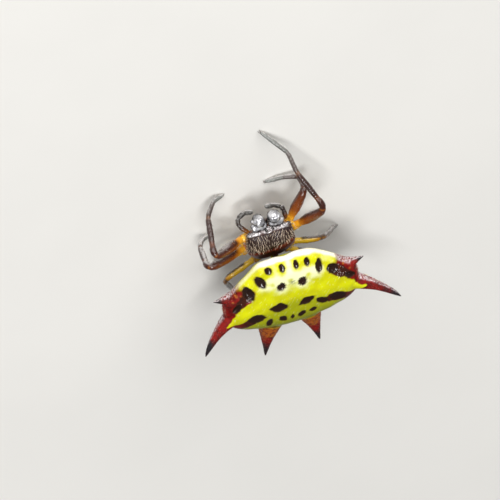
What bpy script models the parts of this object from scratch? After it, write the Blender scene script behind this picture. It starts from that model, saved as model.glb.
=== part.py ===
"""A spiny orb weaver, adult female, standing at life size on its eight feet.

The spider faces -Y and its own right side is -X. Lengths below are in millimetres and
MM turns them into the metres that Blender stores. Heights are measured from the floor.
"""

import math

import bmesh
import bpy
from mathutils import Matrix, Vector

MM = 0.001
GAP = 0.3
MERGE = 1e-7

# Abdomen, the wide hard plate and the cone under it
PLATE_HEIGHT = 5.2
PLATE_OUTLINE = [
    (0.0, -3.04),
    (1.55, -2.90),
    (2.52, -2.32),
    (3.62, -1.38),
    (4.50, -0.50),
    (4.64, 0.50),
    (4.35, 1.70),
    (3.5, 2.32),
    (2.0, 2.78),
    (0.0, 3.02),
]
PLATE_SIDES = 72
# share of the outline, height above the plate's middle, how far the ring lies back
ABDOMEN_RINGS = [
    (0.08, 0.35, 0.00),
    (0.28, 0.35, 0.00),
    (0.50, 0.32, 0.00),
    (0.68, 0.26, 0.00),
    (0.83, 0.15, 0.00),
    (0.93, -0.04, 0.00),
    (0.985, -0.27, 0.00),
    (1.00, -0.52, 0.00),
    (0.985, -0.80, 0.02),
    (0.91, -1.05, 0.08),
    (0.78, -1.30, 0.26),
    (0.60, -1.76, 0.60),
    (0.45, -2.30, 0.84),
    (0.32, -2.85, 0.98),
    (0.21, -3.35, 1.05),
]

# Six spines of the abdomen: root, tip, root radius, how far the middle bows outward,
# and how fast it thins
SPINES = {
    "anterior": {
        "left": ((3.95, -0.50, -0.62), (5.24, -1.07, -0.30)),
        "right": ((-3.95, -0.46, -0.62), (-5.12, -1.07, -0.30)),
        "radius": 0.46,
        "bow": -0.05,
        "taper": 0.90,
    },
    "median": {
        "left": ((4.00, 0.98, -0.55), (6.42, 3.05, 0.35)),
        "right": ((-4.00, 0.98, -0.55), (-7.05, 3.05, 0.35)),
        "radius": 0.62,
        "bow": 0.44,
        "taper": 0.90,
    },
    "posterior": {
        "left": ((1.50, 2.55, -0.95), (2.36, 5.40, -0.30)),
        "right": ((-0.98, 2.60, -0.95), (-1.40, 5.45, -0.30)),
        "radius": 0.95,
        "bow": 0.08,
        "taper": 1.0,
    },
}
SPINE_SIDES = 12
SPINE_STEPS = 9
SPINE_TIP_RADIUS = 0.07
BOW_WAY = (1.0, -0.6, 0.0)

# Spinnerets and waist
SPINNERET_TOP_RADIUS = 0.52
SPINNERET_MIDDLE_RADIUS = 0.47
SPINNERET_TIP_RADIUS = 0.30
SPINNERET_LENGTH = 0.50
SPINNERET_SIDES = 16
WAIST_RADIUS = 0.28
WAIST_START_HEIGHT = -2.80
WAIST_START_ACROSS = -0.2
WAIST_INSIDE = (0.2, 0.8, -2.60)

# Head and chest in one shell
HEAD_X = 0.50
# distance along Y, half width, top and bottom height from the plate's middle
HEAD_STATIONS = [
    (-4.50, 1.14, -1.86, -2.00),
    (-4.42, 1.36, -1.74, -2.10),
    (-4.20, 1.48, -1.60, -2.30),
    (-3.92, 1.55, -1.49, -2.80),
    (-3.55, 1.60, -1.42, -3.25),
    (-3.05, 1.63, -1.42, -3.42),
    (-2.60, 1.58, -1.60, -3.42),
    (-2.15, 1.42, -1.88, -3.40),
    (-1.70, 1.15, -2.12, -3.34),
    (-1.42, 0.84, -2.32, -3.24),
    (-1.25, 0.50, -2.52, -3.10),
]
HEAD_SIDES = 36
HEAD_SQUARENESS = 2.7
# how far down from the top the head is widest, as a share of its depth
HEAD_WIDEST = 0.28
# where an eye mound sits across the head, its radius, and how much wider than deep it is
EYE_MOUNDS = [
    (0.0, 0.30, 1.25),
    (1.28, 0.20, 1.0),
    (-1.28, 0.20, 1.0),
]
EYE_MOUND_BACK = 0.06
EYE_MOUND_SUNK = 0.14
EYE_MOUND_FLATNESS = 0.8

# Jaws and feelers
JAW_OUT = 0.57
JAW_SIZE = (0.42, 0.42, 0.58)
JAW_CENTRE = (-4.95, -2.46)
JAW_LEAN = math.radians(26)
PALP_RADII = (0.22, 0.25, 0.25, 0.26, 0.20)
PALP_STEPS = 12
PALPS = {
    "left": [
        (1.76, -3.92, -3.32),
        (2.14, -4.14, -3.22),
        (2.10, -4.42, -3.54),
        (1.64, -4.62, -3.72),
        (1.08, -4.76, -3.50),
    ],
    "right": [
        (-0.50, -4.02, -3.34),
        (-0.76, -4.40, -3.30),
        (-0.78, -4.62, -3.34),
        (-0.40, -4.80, -3.48),
        (0.24, -4.98, -3.44),
    ],
}

# Hip, knee, end of the shin, end of the long foot piece, and where the foot stands on the floor
LEGS = {
    "leg_left_1": [
        (2.48, -3.56, -2.50),
        (4.46, -4.27, -1.14),
        (4.05, -5.50, -3.56),
        (3.32, -5.66, -4.60),
        (2.59, -5.45),
    ],
    "leg_left_2": [
        (2.42, -2.45, -2.75),
        (4.92, -3.04, -1.47),
        (4.84, -2.72, -3.80),
        (4.50, -2.45, -4.55),
        (3.93, -2.15),
    ],
    "leg_left_3": [
        (2.52, -1.78, -3.11),
        (4.06, -1.40, -3.02),
        (3.94, -0.55, -3.90),
        (3.82, 0.10, -4.52),
        (3.68, 0.84),
    ],
    "leg_left_4": [
        (1.82, -0.86, -2.95),
        (3.74, -0.05, -2.78),
        (3.20, 2.00, -3.75),
        (2.90, 3.00, -4.40),
        (2.55, 4.30),
    ],
    "leg_right_1": [
        (-1.20, -4.05, -2.75),
        (-2.44, -6.16, -2.88),
        (-2.48, -5.60, -4.55),
        (-1.50, -5.66, -4.84),
        (-0.38, -5.50),
    ],
    "leg_right_2": [
        (-1.64, -3.60, -2.45),
        (-3.21, -5.46, -1.27),
        (-2.03, -8.06, -2.65),
        (-1.91, -8.69, -3.97),
        (-0.54, -10.14),
    ],
    "leg_right_3": [
        (-1.38, -1.62, -2.80),
        (-2.95, -1.45, -2.55),
        (-3.86, -0.52, -3.72),
        (-4.20, -0.05, -4.40),
        (-4.58, 0.57),
    ],
    "leg_right_4": [
        (-0.95, -0.92, -2.95),
        (-2.62, 0.55, -2.95),
        (-3.00, 2.10, -3.80),
        (-3.05, 3.10, -4.40),
        (-3.05, 4.30),
    ],
}
LEG_SIDES = 12
COXA_RADIUS = 0.30
COXA_INNER_RADIUS = 0.27
COXA_SUNK = 1.0
HIP_RADIUS = 0.26
# thickest radius of thigh, knee piece, shin, long foot piece and foot, front legs then back legs
FRONT_RADII = (0.38, 0.30, 0.27, 0.25, 0.25)
BACK_RADII = (0.30, 0.26, 0.25, 0.25, 0.25)
KNEE_CUT = 0.38
KNEE_RISE = 0.07
FOOT_TIP_RADIUS = 0.20
FOOT_TIP_HEIGHT = 0.15
SWELL_BIAS = 0.85


def remove_everything():
    for found in list(bpy.data.objects):
        bpy.data.objects.remove(found, do_unlink=True)


def shell(name, colour, roughness):
    """A hard skin of one colour."""
    made = bpy.data.materials.new(name)
    made.use_nodes = True
    surface = made.node_tree.nodes["Principled BSDF"]
    surface.inputs["Base Color"].default_value = (*colour, 1.0)
    surface.inputs["Roughness"].default_value = roughness
    surface.inputs["Metallic"].default_value = 0.0
    return made


def at(point):
    """A place given in millimetres from the plate's middle, as a vector in metres from the floor."""
    x, y, z = point
    return Vector((x, y, z + PLATE_HEIGHT)) * MM


def object_from_rings(name, rings, material=None):
    """A closed skin through rings of points, with a flat cap at each end."""
    mesh = bmesh.new()
    loops = [[mesh.verts.new(point) for point in ring] for ring in rings]
    count = len(rings[0])
    for lower, upper in zip(loops, loops[1:]):
        for i in range(count):
            after = (i + 1) % count
            mesh.faces.new((lower[i], lower[after], upper[after], upper[i]))
    mesh.faces.new(list(reversed(loops[0])))
    mesh.faces.new(loops[-1])
    bmesh.ops.recalc_face_normals(mesh, faces=mesh.faces)
    caps = [face for face in mesh.faces if len(face.verts) > 4]
    bmesh.ops.triangulate(mesh, faces=caps)
    data = bpy.data.meshes.new(name)
    mesh.to_mesh(data)
    mesh.free()
    made = bpy.data.objects.new(name, data)
    bpy.context.scene.collection.objects.link(made)
    if material is not None:
        data.materials.append(material)
    data.shade_smooth()
    data.set_sharp_from_angle(angle=math.radians(50))
    return made


def ellipsoid(name, centre, radii, turn=0.0):
    """A closed round body about a place in the frame, with three radii, leaned about X by turn."""
    mesh = bmesh.new()
    bmesh.ops.create_icosphere(mesh, subdivisions=3, radius=1.0)
    place = (
        Matrix.Translation(centre)
        @ Matrix.Rotation(turn, 4, "X")
        @ Matrix.Diagonal((*[r * MM for r in radii], 1.0))
    )
    bmesh.ops.transform(mesh, matrix=place, verts=mesh.verts)
    data = bpy.data.meshes.new(name)
    mesh.to_mesh(data)
    mesh.free()
    data.shade_smooth()
    made = bpy.data.objects.new(name, data)
    bpy.context.scene.collection.objects.link(made)
    return made


def mitred_rings(points, radii, sides, start_plane=None, end_plane=None):
    """Rings along a line of points, each in the plane that halves the bend at its point."""
    directions = [(b - a).normalized() for a, b in zip(points, points[1:])]
    side = directions[0].orthogonal().normalized()
    rings = []
    for i, (point, radius) in enumerate(zip(points, radii)):
        before = directions[max(i - 1, 0)]
        after = directions[min(i, len(directions) - 1)]
        plane = (before + after).normalized()
        if i == 0 and start_plane:
            plane = start_plane
        if i == len(points) - 1 and end_plane:
            plane = end_plane
        side = (side - before * side.dot(before)).normalized()
        other = before.cross(side)
        ring = []
        for k in range(sides):
            angle = 2 * math.pi * k / sides
            offset = (side * math.cos(angle) + other * math.sin(angle)) * radius
            offset -= before * (offset.dot(plane) / before.dot(plane))
            ring.append(point + offset)
        rings.append(ring)
        side = side.copy()
        side.rotate(before.rotation_difference(after))
    return rings


def fused(target, pieces):
    """Joins the pieces to the target in one union, and keeps its largest closed surface."""
    group = bpy.data.collections.new(target.name + "_joined")
    bpy.context.scene.collection.children.link(group)
    for piece in pieces:
        bpy.context.scene.collection.objects.unlink(piece)
        group.objects.link(piece)
    union = target.modifiers.new("union", "BOOLEAN")
    union.operation = "UNION"
    union.solver = "EXACT"
    union.operand_type = "COLLECTION"
    union.collection = group
    view = bpy.context.evaluated_depsgraph_get()
    whole = bpy.data.meshes.new_from_object(target.evaluated_get(view))
    target.modifiers.clear()
    materials = list(target.data.materials)
    target.data = whole
    target.data.materials.clear()
    for material in materials:
        target.data.materials.append(material)
    for piece in list(group.objects):
        bpy.data.objects.remove(piece, do_unlink=True)
    bpy.data.collections.remove(group)
    keep_largest(target)
    return target


def keep_largest(target):
    """Drops every closed surface of a mesh but the one with the most faces."""
    mesh = bmesh.new()
    mesh.from_mesh(target.data)
    bmesh.ops.remove_doubles(mesh, verts=mesh.verts, dist=MERGE)
    left = set(mesh.faces)
    islands = []
    while left:
        seed = left.pop()
        island = {seed}
        edge_of_island = [seed]
        while edge_of_island:
            face = edge_of_island.pop()
            for edge in face.edges:
                for near in edge.link_faces:
                    if near in left:
                        left.discard(near)
                        island.add(near)
                        edge_of_island.append(near)
        islands.append(island)
    islands.sort(key=len)
    for island in islands[:-1]:
        bmesh.ops.delete(mesh, geom=list(island), context="FACES")
    loose = [vert for vert in mesh.verts if not vert.link_faces]
    bmesh.ops.delete(mesh, geom=loose, context="VERTS")
    mesh.to_mesh(target.data)
    mesh.free()
    target.data.shade_smooth()
    target.data.set_sharp_from_angle(angle=math.radians(50))


def between(a, b, c, d, t):
    """A place between b and c on the round line that also passes a and d."""
    bend = a * 2 - b * 5 + c * 4 - d
    twist = b * 3 - a - c * 3 + d
    return (b * 2 + (c - a) * t + bend * t**2 + twist * t**3) / 2


def smooth_closed(points, count):
    """A closed round line through the points."""
    spots = [Vector(point) for point in points]
    total = len(spots)
    line = []
    for k in range(count):
        place = k * total / count
        i = int(place)
        line.append(between(*[spots[(i + j) % total] for j in (-1, 0, 1, 2)], place - i))
    return line


def smooth_open(spots, steps):
    """A round line from the first spot to the last one."""
    ends = [spots[0] * 2 - spots[1], *spots, spots[-1] * 2 - spots[-2]]
    line = []
    for k in range(steps + 1):
        place = k * (len(spots) - 1) / steps
        i = min(int(place), len(spots) - 2)
        line.append(between(*ends[i : i + 4], place - i))
    return line


def plate_outline():
    """The plate's edge from above, both sides alike."""
    right = [(-x, y) for x, y in reversed(PLATE_OUTLINE[1:-1])]
    return smooth_closed(PLATE_OUTLINE + right, PLATE_SIDES)


def spine(kind, side):
    """One spine of the abdomen, from a root sunk into the plate to its tip."""
    form = SPINES[kind]
    root, tip = [at(end) for end in form[side]]
    outward = Vector(BOW_WAY).normalized()
    if side == "right":
        outward.x = -outward.x
    middle = (root + tip) / 2 + outward * form["bow"] * MM
    points = []
    radii = []
    for step in range(SPINE_STEPS + 1):
        t = step / SPINE_STEPS
        points.append(root * (1 - t) ** 2 + middle * (2 * t * (1 - t)) + tip * t**2)
        thick = (1 - t) ** form["taper"]
        radii.append((SPINE_TIP_RADIUS + (form["radius"] - SPINE_TIP_RADIUS) * thick) * MM)
    return object_from_rings(f"spine_{kind}_{side}", mitred_rings(points, radii, SPINE_SIDES))


def abdomen(material):
    """The plate with its cone below, its six spines, and the waist that meets the chest."""
    outline = plate_outline()
    rings = []
    for share, height, back in ABDOMEN_RINGS:
        rings.append([at((p.x * share, p.y * share + back, height)) for p in outline])
    body = object_from_rings("abdomen", rings, material)
    pieces = [spine(kind, side) for kind in SPINES for side in ("left", "right")]
    chest_end = head_point(HEAD_STATIONS[-1][0] + GAP, WAIST_START_ACROSS, WAIST_START_HEIGHT)
    waist = mitred_rings([chest_end, at(WAIST_INSIDE)], [WAIST_RADIUS * MM] * 2, SPINE_SIDES)
    pieces.append(object_from_rings("waist", waist))
    return fused(body, pieces)


def spinnerets(material):
    """The short silk organ under the cone."""
    share, height, back = ABDOMEN_RINGS[-1]
    top = height - GAP
    middle = top - SPINNERET_LENGTH * 0.5
    ends = [at((0.0, back, h)) for h in (top, middle, top - SPINNERET_LENGTH)]
    radii = [r * MM for r in (SPINNERET_TOP_RADIUS, SPINNERET_MIDDLE_RADIUS, SPINNERET_TIP_RADIUS)]
    return object_from_rings("spinnerets", mitred_rings(ends, radii, SPINNERET_SIDES), material)


def head_point(along, across, height):
    """A place measured across from the middle line of the head."""
    return at((HEAD_X + across, along, height))


def head_ring(along, half_width, top, bottom):
    """A rounded box across the head, widest near its top."""
    widest = top + (bottom - top) * HEAD_WIDEST
    ring = []
    for k in range(HEAD_SIDES):
        angle = 2 * math.pi * k / HEAD_SIDES
        c, s = math.cos(angle), math.sin(angle)
        power = 2 / HEAD_SQUARENESS
        across = math.copysign(abs(c) ** power, c) * half_width
        reach = top - widest if s > 0 else widest - bottom
        height = widest + math.copysign(abs(s) ** power, s) * reach
        ring.append(head_point(along, across, height))
    return ring


def coxa(name):
    """The short first piece of a leg, which grows out of the chest."""
    hip, knee = [at(joint) for joint in LEGS[name][:2]]
    way = (knee - hip).normalized()
    outer = hip - way * GAP * MM
    inner = hip - way * COXA_SUNK * MM
    radii = [COXA_INNER_RADIUS * MM, COXA_RADIUS * MM]
    return object_from_rings(name + "_coxa", mitred_rings([inner, outer], radii, LEG_SIDES))


def cephalothorax(material):
    """Head and chest with the eye mounds and the eight first leg pieces."""
    rings = [head_ring(*station) for station in HEAD_STATIONS]
    body = object_from_rings("cephalothorax", rings, material)
    pieces = [coxa(name) for name in LEGS]
    front, _, top, _ = HEAD_STATIONS[1]
    for across, size, width in EYE_MOUNDS:
        centre = head_point(front + EYE_MOUND_BACK, across, top - EYE_MOUND_SUNK)
        radii = (size * width, size, size * EYE_MOUND_FLATNESS)
        pieces.append(ellipsoid("eye_mound", centre, radii))
    return fused(body, pieces)


def jaw(side, material):
    """One of the two thick jaws under the front of the head."""
    sign = 1.0 if side == "left" else -1.0
    centre = head_point(JAW_CENTRE[0], sign * JAW_OUT, JAW_CENTRE[1])
    made = ellipsoid("chelicera_" + side, centre, JAW_SIZE, JAW_LEAN)
    made.data.materials.append(material)
    return made


def palp(side, material):
    """One bent feeler beside the jaws."""
    line = smooth_open([at(p) for p in PALPS[side]], PALP_STEPS)
    radii = []
    for k in range(PALP_STEPS + 1):
        place = k * (len(PALP_RADII) - 1) / PALP_STEPS
        i = min(int(place), len(PALP_RADII) - 2)
        radii.append((PALP_RADII[i] + (PALP_RADII[i + 1] - PALP_RADII[i]) * (place - i)) * MM)
    return object_from_rings("palp_" + side, mitred_rings(line, radii, LEG_SIDES), material)


def stretch(start, end, start_radius, thick, end_radius, steps=4):
    """Points and radii along one leg piece, thickest before its middle."""
    points = []
    radii = []
    for step in range(steps + 1):
        t = step / steps
        base = start_radius * (1 - t) + end_radius * t
        swell = (thick - (start_radius + end_radius) / 2) * math.sin(math.pi * t**SWELL_BIAS)
        points.append(start.lerp(end, t))
        radii.append((base + max(swell, 0.0)) * MM)
    return points, radii


def joint(before, place, after):
    """The plane that halves a bend, and the two ends that keep half the gap to it."""
    way_in = (place - before).normalized()
    way_out = (after - place).normalized()
    plane = (way_in + way_out).normalized()
    back = way_in * (GAP / 2 * MM / way_in.dot(plane))
    on = way_out * (GAP / 2 * MM / way_out.dot(plane))
    return plane, place - back, place + on


def stand(made):
    """Presses what lies under the floor up to it, which leaves a small flat."""
    for vert in made.data.vertices:
        vert.co.z = max(vert.co.z, 0.0)


def leg(name, material):
    """Three nodes: the thigh, the knee piece with the shin, and the foot."""
    hip, knee, shin_end, long_end, stand_at = LEGS[name]
    radii = FRONT_RADII if name[-1] in "12" else BACK_RADII
    thigh_r, knee_r, shin_r, long_r, foot_r = radii
    foot = (*stand_at, FOOT_TIP_HEIGHT - PLATE_HEIGHT)
    hip, knee, shin_end, long_end, foot = [at(p) for p in (hip, knee, shin_end, long_end, foot)]
    way_in = (knee - hip).normalized() * MM
    way_out = (shin_end - knee).normalized() * MM
    outward = way_in - way_out
    thigh_end = knee - way_in * KNEE_CUT + outward * KNEE_RISE
    knee_end = knee + way_out * KNEE_CUT + outward * KNEE_RISE

    plane, end, start = joint(hip, thigh_end, knee_end)
    points, sizes = stretch(hip, end, HIP_RADIUS, thigh_r, knee_r, 6)
    rings = mitred_rings(points, sizes, LEG_SIDES, end_plane=plane)
    thigh = object_from_rings(name + "_femur", rings, material)

    shin_plane, shin_stop, foot_start = joint(knee_end, shin_end, long_end)
    points, sizes = stretch(start, knee_end, knee_r, knee_r, knee_r, 2)
    more, more_sizes = stretch(knee_end, shin_stop, knee_r, shin_r, long_r, 5)
    points, sizes = points + more[1:], sizes + more_sizes[1:]
    rings = mitred_rings(points, sizes, LEG_SIDES, start_plane=plane, end_plane=shin_plane)
    shin = object_from_rings(name + "_tibia", rings, material)

    points, sizes = stretch(foot_start, long_end, long_r, long_r, foot_r, 3)
    more, more_sizes = stretch(long_end, foot, foot_r, foot_r, FOOT_TIP_RADIUS, 5)
    rings = mitred_rings(points + more[1:], sizes + more_sizes[1:], LEG_SIDES, start_plane=shin_plane)
    end = object_from_rings(name + "_tarsus", rings, material)
    stand(end)
    return thigh, shin, end


def set_origin_under_middle():
    """Moves every piece so that the origin is on the floor under the middle of the whole."""
    corners = [piece.matrix_world @ Vector(c) for piece in bpy.data.objects for c in piece.bound_box]
    middle = Vector((0.0, 0.0, 0.0))
    for k in range(2):
        reach = [corner[k] for corner in corners]
        middle[k] = (min(reach) + max(reach)) / 2
    for piece in bpy.data.objects:
        piece.location -= middle


def main():
    remove_everything()
    yellow = shell("abdomen_shell", (0.72, 0.62, 0.05), 0.4)
    maroon = shell("head_shell", (0.10, 0.03, 0.02), 0.5)
    black = shell("jaw_shell", (0.02, 0.02, 0.02), 0.25)
    dark = shell("spinneret_skin", (0.06, 0.03, 0.02), 0.5)
    grey = shell("palp_shell", (0.09, 0.06, 0.05), 0.4)
    brown = shell("leg_shell", (0.16, 0.05, 0.03), 0.4)
    abdomen(yellow)
    spinnerets(dark)
    cephalothorax(maroon)
    for side in ("left", "right"):
        jaw(side, black)
        palp(side, grey)
    for name in LEGS:
        leg(name, brown)
    bpy.context.view_layer.update()
    set_origin_under_middle()


main()
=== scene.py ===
"""The looks of a spiny orb weaver, an adult female at life size, standing on a pale floor.

Shapes are worked out in millimetres from the middle of the abdomen's plate, as in the
solids, and are settled into the frame in metres at the end. The spider faces -Y.
"""

import math

import bmesh
import bpy
import numpy as np
from bpy.props import FloatProperty, FloatVectorProperty, IntProperty, PointerProperty
from mathutils import Matrix, Vector


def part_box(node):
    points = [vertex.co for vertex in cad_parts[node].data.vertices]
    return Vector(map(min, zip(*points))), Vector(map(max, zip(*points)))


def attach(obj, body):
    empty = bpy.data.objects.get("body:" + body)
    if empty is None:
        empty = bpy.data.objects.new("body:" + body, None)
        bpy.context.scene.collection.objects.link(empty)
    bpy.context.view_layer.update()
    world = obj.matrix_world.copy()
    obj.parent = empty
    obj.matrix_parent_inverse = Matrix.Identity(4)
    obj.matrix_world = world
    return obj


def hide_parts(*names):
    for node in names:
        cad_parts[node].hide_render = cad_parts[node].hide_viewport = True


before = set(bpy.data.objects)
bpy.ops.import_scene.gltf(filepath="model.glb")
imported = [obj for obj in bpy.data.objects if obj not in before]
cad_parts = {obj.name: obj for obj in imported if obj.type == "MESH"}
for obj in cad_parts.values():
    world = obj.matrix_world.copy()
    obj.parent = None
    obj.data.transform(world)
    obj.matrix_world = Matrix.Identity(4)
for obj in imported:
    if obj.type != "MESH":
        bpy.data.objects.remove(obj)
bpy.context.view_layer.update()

bl_info = {
    "name": "Spiny orb weaver",
    "version": (1, 0, 0),
    "blender": (4, 5, 0),
    "location": "View3D > Sidebar > Spider",
    "description": "Dresses the solids of a life-size spiny orb weaver",
    "category": "Object",
}

MM = 0.001
PLATE_HEIGHT = 5.2
SPINNERETS_BACK = 1.05
LOW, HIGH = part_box("spinnerets")
PLATE_PLACE = np.array(
    [(LOW.x + HIGH.x) / 2 / MM, (LOW.y + HIGH.y) / 2 / MM - SPINNERETS_BACK, PLATE_HEIGHT]
)

# Abdomen, as in the solids
PLATE_OUTLINE = [
    (0.0, -3.04),
    (1.55, -2.90),
    (2.52, -2.32),
    (3.62, -1.38),
    (4.50, -0.50),
    (4.64, 0.50),
    (4.35, 1.70),
    (3.5, 2.32),
    (2.0, 2.78),
    (0.0, 3.02),
]
ABDOMEN_RINGS = [
    (0.08, 0.35, 0.00),
    (0.28, 0.35, 0.00),
    (0.50, 0.32, 0.00),
    (0.68, 0.26, 0.00),
    (0.83, 0.15, 0.00),
    (0.93, -0.04, 0.00),
    (0.985, -0.27, 0.00),
    (1.00, -0.52, 0.00),
    (0.985, -0.80, 0.02),
    (0.91, -1.05, 0.08),
    (0.78, -1.30, 0.26),
    (0.60, -1.76, 0.60),
    (0.45, -2.30, 0.84),
    (0.32, -2.85, 0.98),
    (0.21, -3.35, 1.05),
]
# root, tip, root radius, bow of the middle, thickness profile, and where red and black begin
SPINES = {
    "anterior_left": ((3.95, -0.50, -0.62), (5.24, -1.07, -0.30), 0.46, -0.05, "cone", 0.0, 0.66),
    "anterior_right": ((-3.95, -0.46, -0.62), (-5.12, -1.07, -0.30), 0.46, -0.05, "cone", 0.0, 0.66),
    "median_left": ((4.00, 0.98, -0.55), (6.42, 3.05, 0.35), 0.62, 0.44, "long", 0.0, 0.66),
    "median_right": ((-4.00, 0.98, -0.55), (-7.05, 3.05, 0.35), 0.62, 0.44, "long", 0.0, 0.70),
    "posterior_left": ((1.50, 2.55, -0.95), (2.36, 5.40, -0.30), 0.90, 0.08, "cone", 0.30, 0.66),
    "posterior_right": ((-0.98, 2.60, -0.95), (-1.40, 5.45, -0.30), 0.90, 0.08, "cone", 0.30, 0.66),
}
# Share of the way to the tip, and share of the root radius
SPINE_PROFILES = {
    "cone": [(0.0, 1.12), (0.15, 0.98), (0.3, 0.78), (0.5, 0.52), (0.75, 0.26), (1.0, 0.05)],
    "long": [(0.0, 1.05), (0.2, 0.82), (0.33, 0.66), (0.5, 0.50), (0.75, 0.34), (0.9, 0.20), (1.0, 0.07)],
}
# The sunk spots: x, y, half length, half width, turn in degrees, and 2 for oval or less for pointed
PITS = [
    (1.36, -2.70, 0.27, 0.24, -75, 2.0),
    (0.45, -2.65, 0.29, 0.21, -86, 2.0),
    (-0.50, -2.60, 0.31, 0.18, 88, 2.0),
    (-1.25, -2.54, 0.32, 0.20, -87, 2.0),
    (-1.98, -1.91, 0.54, 0.26, 85, 1.9),
    (-2.88, -1.24, 0.52, 0.36, -48, 1.9),
    (-4.00, -0.11, 0.51, 0.23, -37, 1.8),
    (2.01, -1.96, 0.51, 0.33, -68, 2.0),
    (2.91, -1.20, 0.64, 0.38, -78, 1.8),
    (3.83, -0.17, 0.44, 0.22, 47, 2.3),
    (0.72, -1.22, 0.37, 0.31, 79, 1.8),
    (-0.71, -1.16, 0.38, 0.30, 83, 2.2),
    (1.08, 0.63, 0.67, 0.43, -11, 1.4),
    (-0.80, 0.72, 0.62, 0.36, 21, 1.3),
    (2.66, 1.11, 0.64, 0.44, -7, 1.6),
    (1.84, 1.82, 0.40, 0.23, 77, 2.2),
    (0.92, 1.81, 0.36, 0.26, -56, 1.6),
    (0.28, 1.86, 0.26, 0.15, 85, 1.4),
    (-0.37, 1.85, 0.31, 0.23, 40, 2.2),
    (-1.14, 1.78, 0.27, 0.22, -3, 1.8),
    (-1.84, 1.17, 0.47, 0.29, -38, 2.1),
    (-2.91, 1.27, 0.62, 0.38, -30, 2.1),
]
# The deep ones, with a lit floor, are the first ten and the next two
DEEP_PITS = 12
# The ones with a ragged edge
BRISTLY_PITS = (10, 11)
# The crimson shoulders, from the plate's front edge round its inner side to the rear
SHOULDERS = [
    [
        (-5.20, 1.20),
        (-4.45, 0.95),
        (-4.10, 0.48),
        (-3.73, -0.02),
        (-3.30, -0.36),
        (-2.90, -0.64),
        (-2.58, -1.10),
        (-2.85, -1.45),
        (-3.43, -1.73),
        (-3.97, -1.70),
        (-4.70, -1.40),
        (-5.50, -1.20),
    ],
    [
        (5.20, 1.30),
        (4.40, 1.00),
        (4.15, 0.62),
        (3.72, 0.02),
        (3.20, -0.34),
        (2.76, -0.66),
        (2.50, -1.12),
        (2.56, -1.39),
        (3.11, -1.54),
        (3.70, -1.52),
        (4.70, -1.40),
        (5.50, -1.20),
    ],
]
# The dark glossy hollows that join the craters of each shoulder: x, y and half width
HOLLOWS = [
    [(-2.88, -1.24, 0.40), (-3.45, -0.62, 0.36), (-4.00, -0.11, 0.26)],
    [(2.91, -1.20, 0.38), (3.40, -0.70, 0.30), (3.83, -0.17, 0.24)],
]
# The dark red bands from the rear spots out to the long spines: x, y and half width
BANDS = [
    [(-2.42, 1.16, 0.36), (-3.05, 1.36, 0.42), (-3.60, 1.50, 0.40), (-4.20, 1.80, 0.48), (-5.0, 2.1, 0.5)],
    [(2.90, 1.24, 0.30), (3.41, 1.48, 0.34), (3.90, 1.66, 0.34), (4.40, 1.80, 0.38), (5.0, 2.0, 0.4)],
]
# The yellow wedges that run out on the roots of the long spines
WEDGES = [
    [(-3.20, 0.70), (-4.18, 0.80), (-4.50, 1.02), (-4.92, 1.28), (-4.55, 1.46), (-4.20, 1.50), (-3.40, 1.12)],
    [(3.20, 0.70), (4.02, 0.62), (4.28, 0.90), (4.66, 1.24), (4.30, 1.30), (3.92, 1.30), (3.45, 1.10)],
]
# Orange marks between the craters of the shoulders: x, y and size
AMBER_MARKS = [
    (-3.69, -1.18, 0.13),
    (-3.36, -1.06, 0.10),
    (-4.05, -0.62, 0.10),
    (3.70, -1.14, 0.14),
    (3.40, -1.12, 0.10),
    (3.99, -0.70, 0.10),
]

# Head and chest, as in the solids
HEAD_X = 0.50
HEAD_STATIONS = [
    (-4.50, 1.14, -1.86, -2.00),
    (-4.42, 1.36, -1.74, -2.10),
    (-4.20, 1.48, -1.60, -2.30),
    (-3.92, 1.55, -1.49, -2.80),
    (-3.55, 1.60, -1.42, -3.25),
    (-3.05, 1.63, -1.42, -3.42),
    (-2.60, 1.58, -1.60, -3.42),
    (-2.15, 1.42, -1.88, -3.40),
    (-1.70, 1.15, -2.12, -3.34),
    (-1.42, 0.84, -2.32, -3.24),
    (-1.25, 0.50, -2.52, -3.10),
]
HEAD_SQUARENESS = 2.7
HEAD_WIDEST = 0.28
EYE_MOUNDS = [
    (0.0, 0.30, 1.25),
    (1.28, 0.20, 1.0),
    (-1.28, 0.20, 1.0),
]
EYE_MOUND_ALONG = -4.36
EYE_MOUND_HEIGHT = -1.88
# name, place across, along and height, and radius of each eye
EYES = [
    ("eye_front_left", 0.17, -4.61, -1.99, 0.10),
    ("eye_front_right", -0.17, -4.61, -1.99, 0.10),
    ("eye_back_left", 0.22, -4.56, -1.79, 0.11),
    ("eye_back_right", -0.22, -4.56, -1.79, 0.11),
    ("eye_side_front_left", 1.33, -4.49, -1.96, 0.11),
    ("eye_side_front_right", -1.33, -4.49, -1.96, 0.11),
    ("eye_side_back_left", 1.42, -4.31, -1.87, 0.10),
    ("eye_side_back_right", -1.42, -4.31, -1.87, 0.10),
]

# How the hairs of the crown lean in the view, in degrees from upright, by place across the head
CROWN_LEAN = [
    (-1.6, 48),
    (-1.2, 28),
    (-0.9, 6),
    (-0.6, -12),
    (-0.3, -28),
    (-0.08, -22),
    (0.10, 4),
    (0.30, 10),
    (0.80, 18),
    (1.50, 36),
]

# Jaws and feelers
JAW_OUT = 0.57
JAW_SIZE = (0.42, 0.42, 0.58)
JAW_CENTRE = (-4.95, -2.46)
JAW_LEAN = math.radians(26)
PALPS = {
    "left": [
        (1.76, -3.92, -3.32),
        (2.14, -4.14, -3.22),
        (2.10, -4.42, -3.54),
        (1.64, -4.62, -3.72),
        (1.08, -4.76, -3.50),
    ],
    "right": [
        (-0.50, -4.02, -3.34),
        (-0.76, -4.40, -3.30),
        (-0.78, -4.62, -3.34),
        (-0.40, -4.80, -3.48),
        (0.24, -4.98, -3.44),
    ],
}
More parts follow.
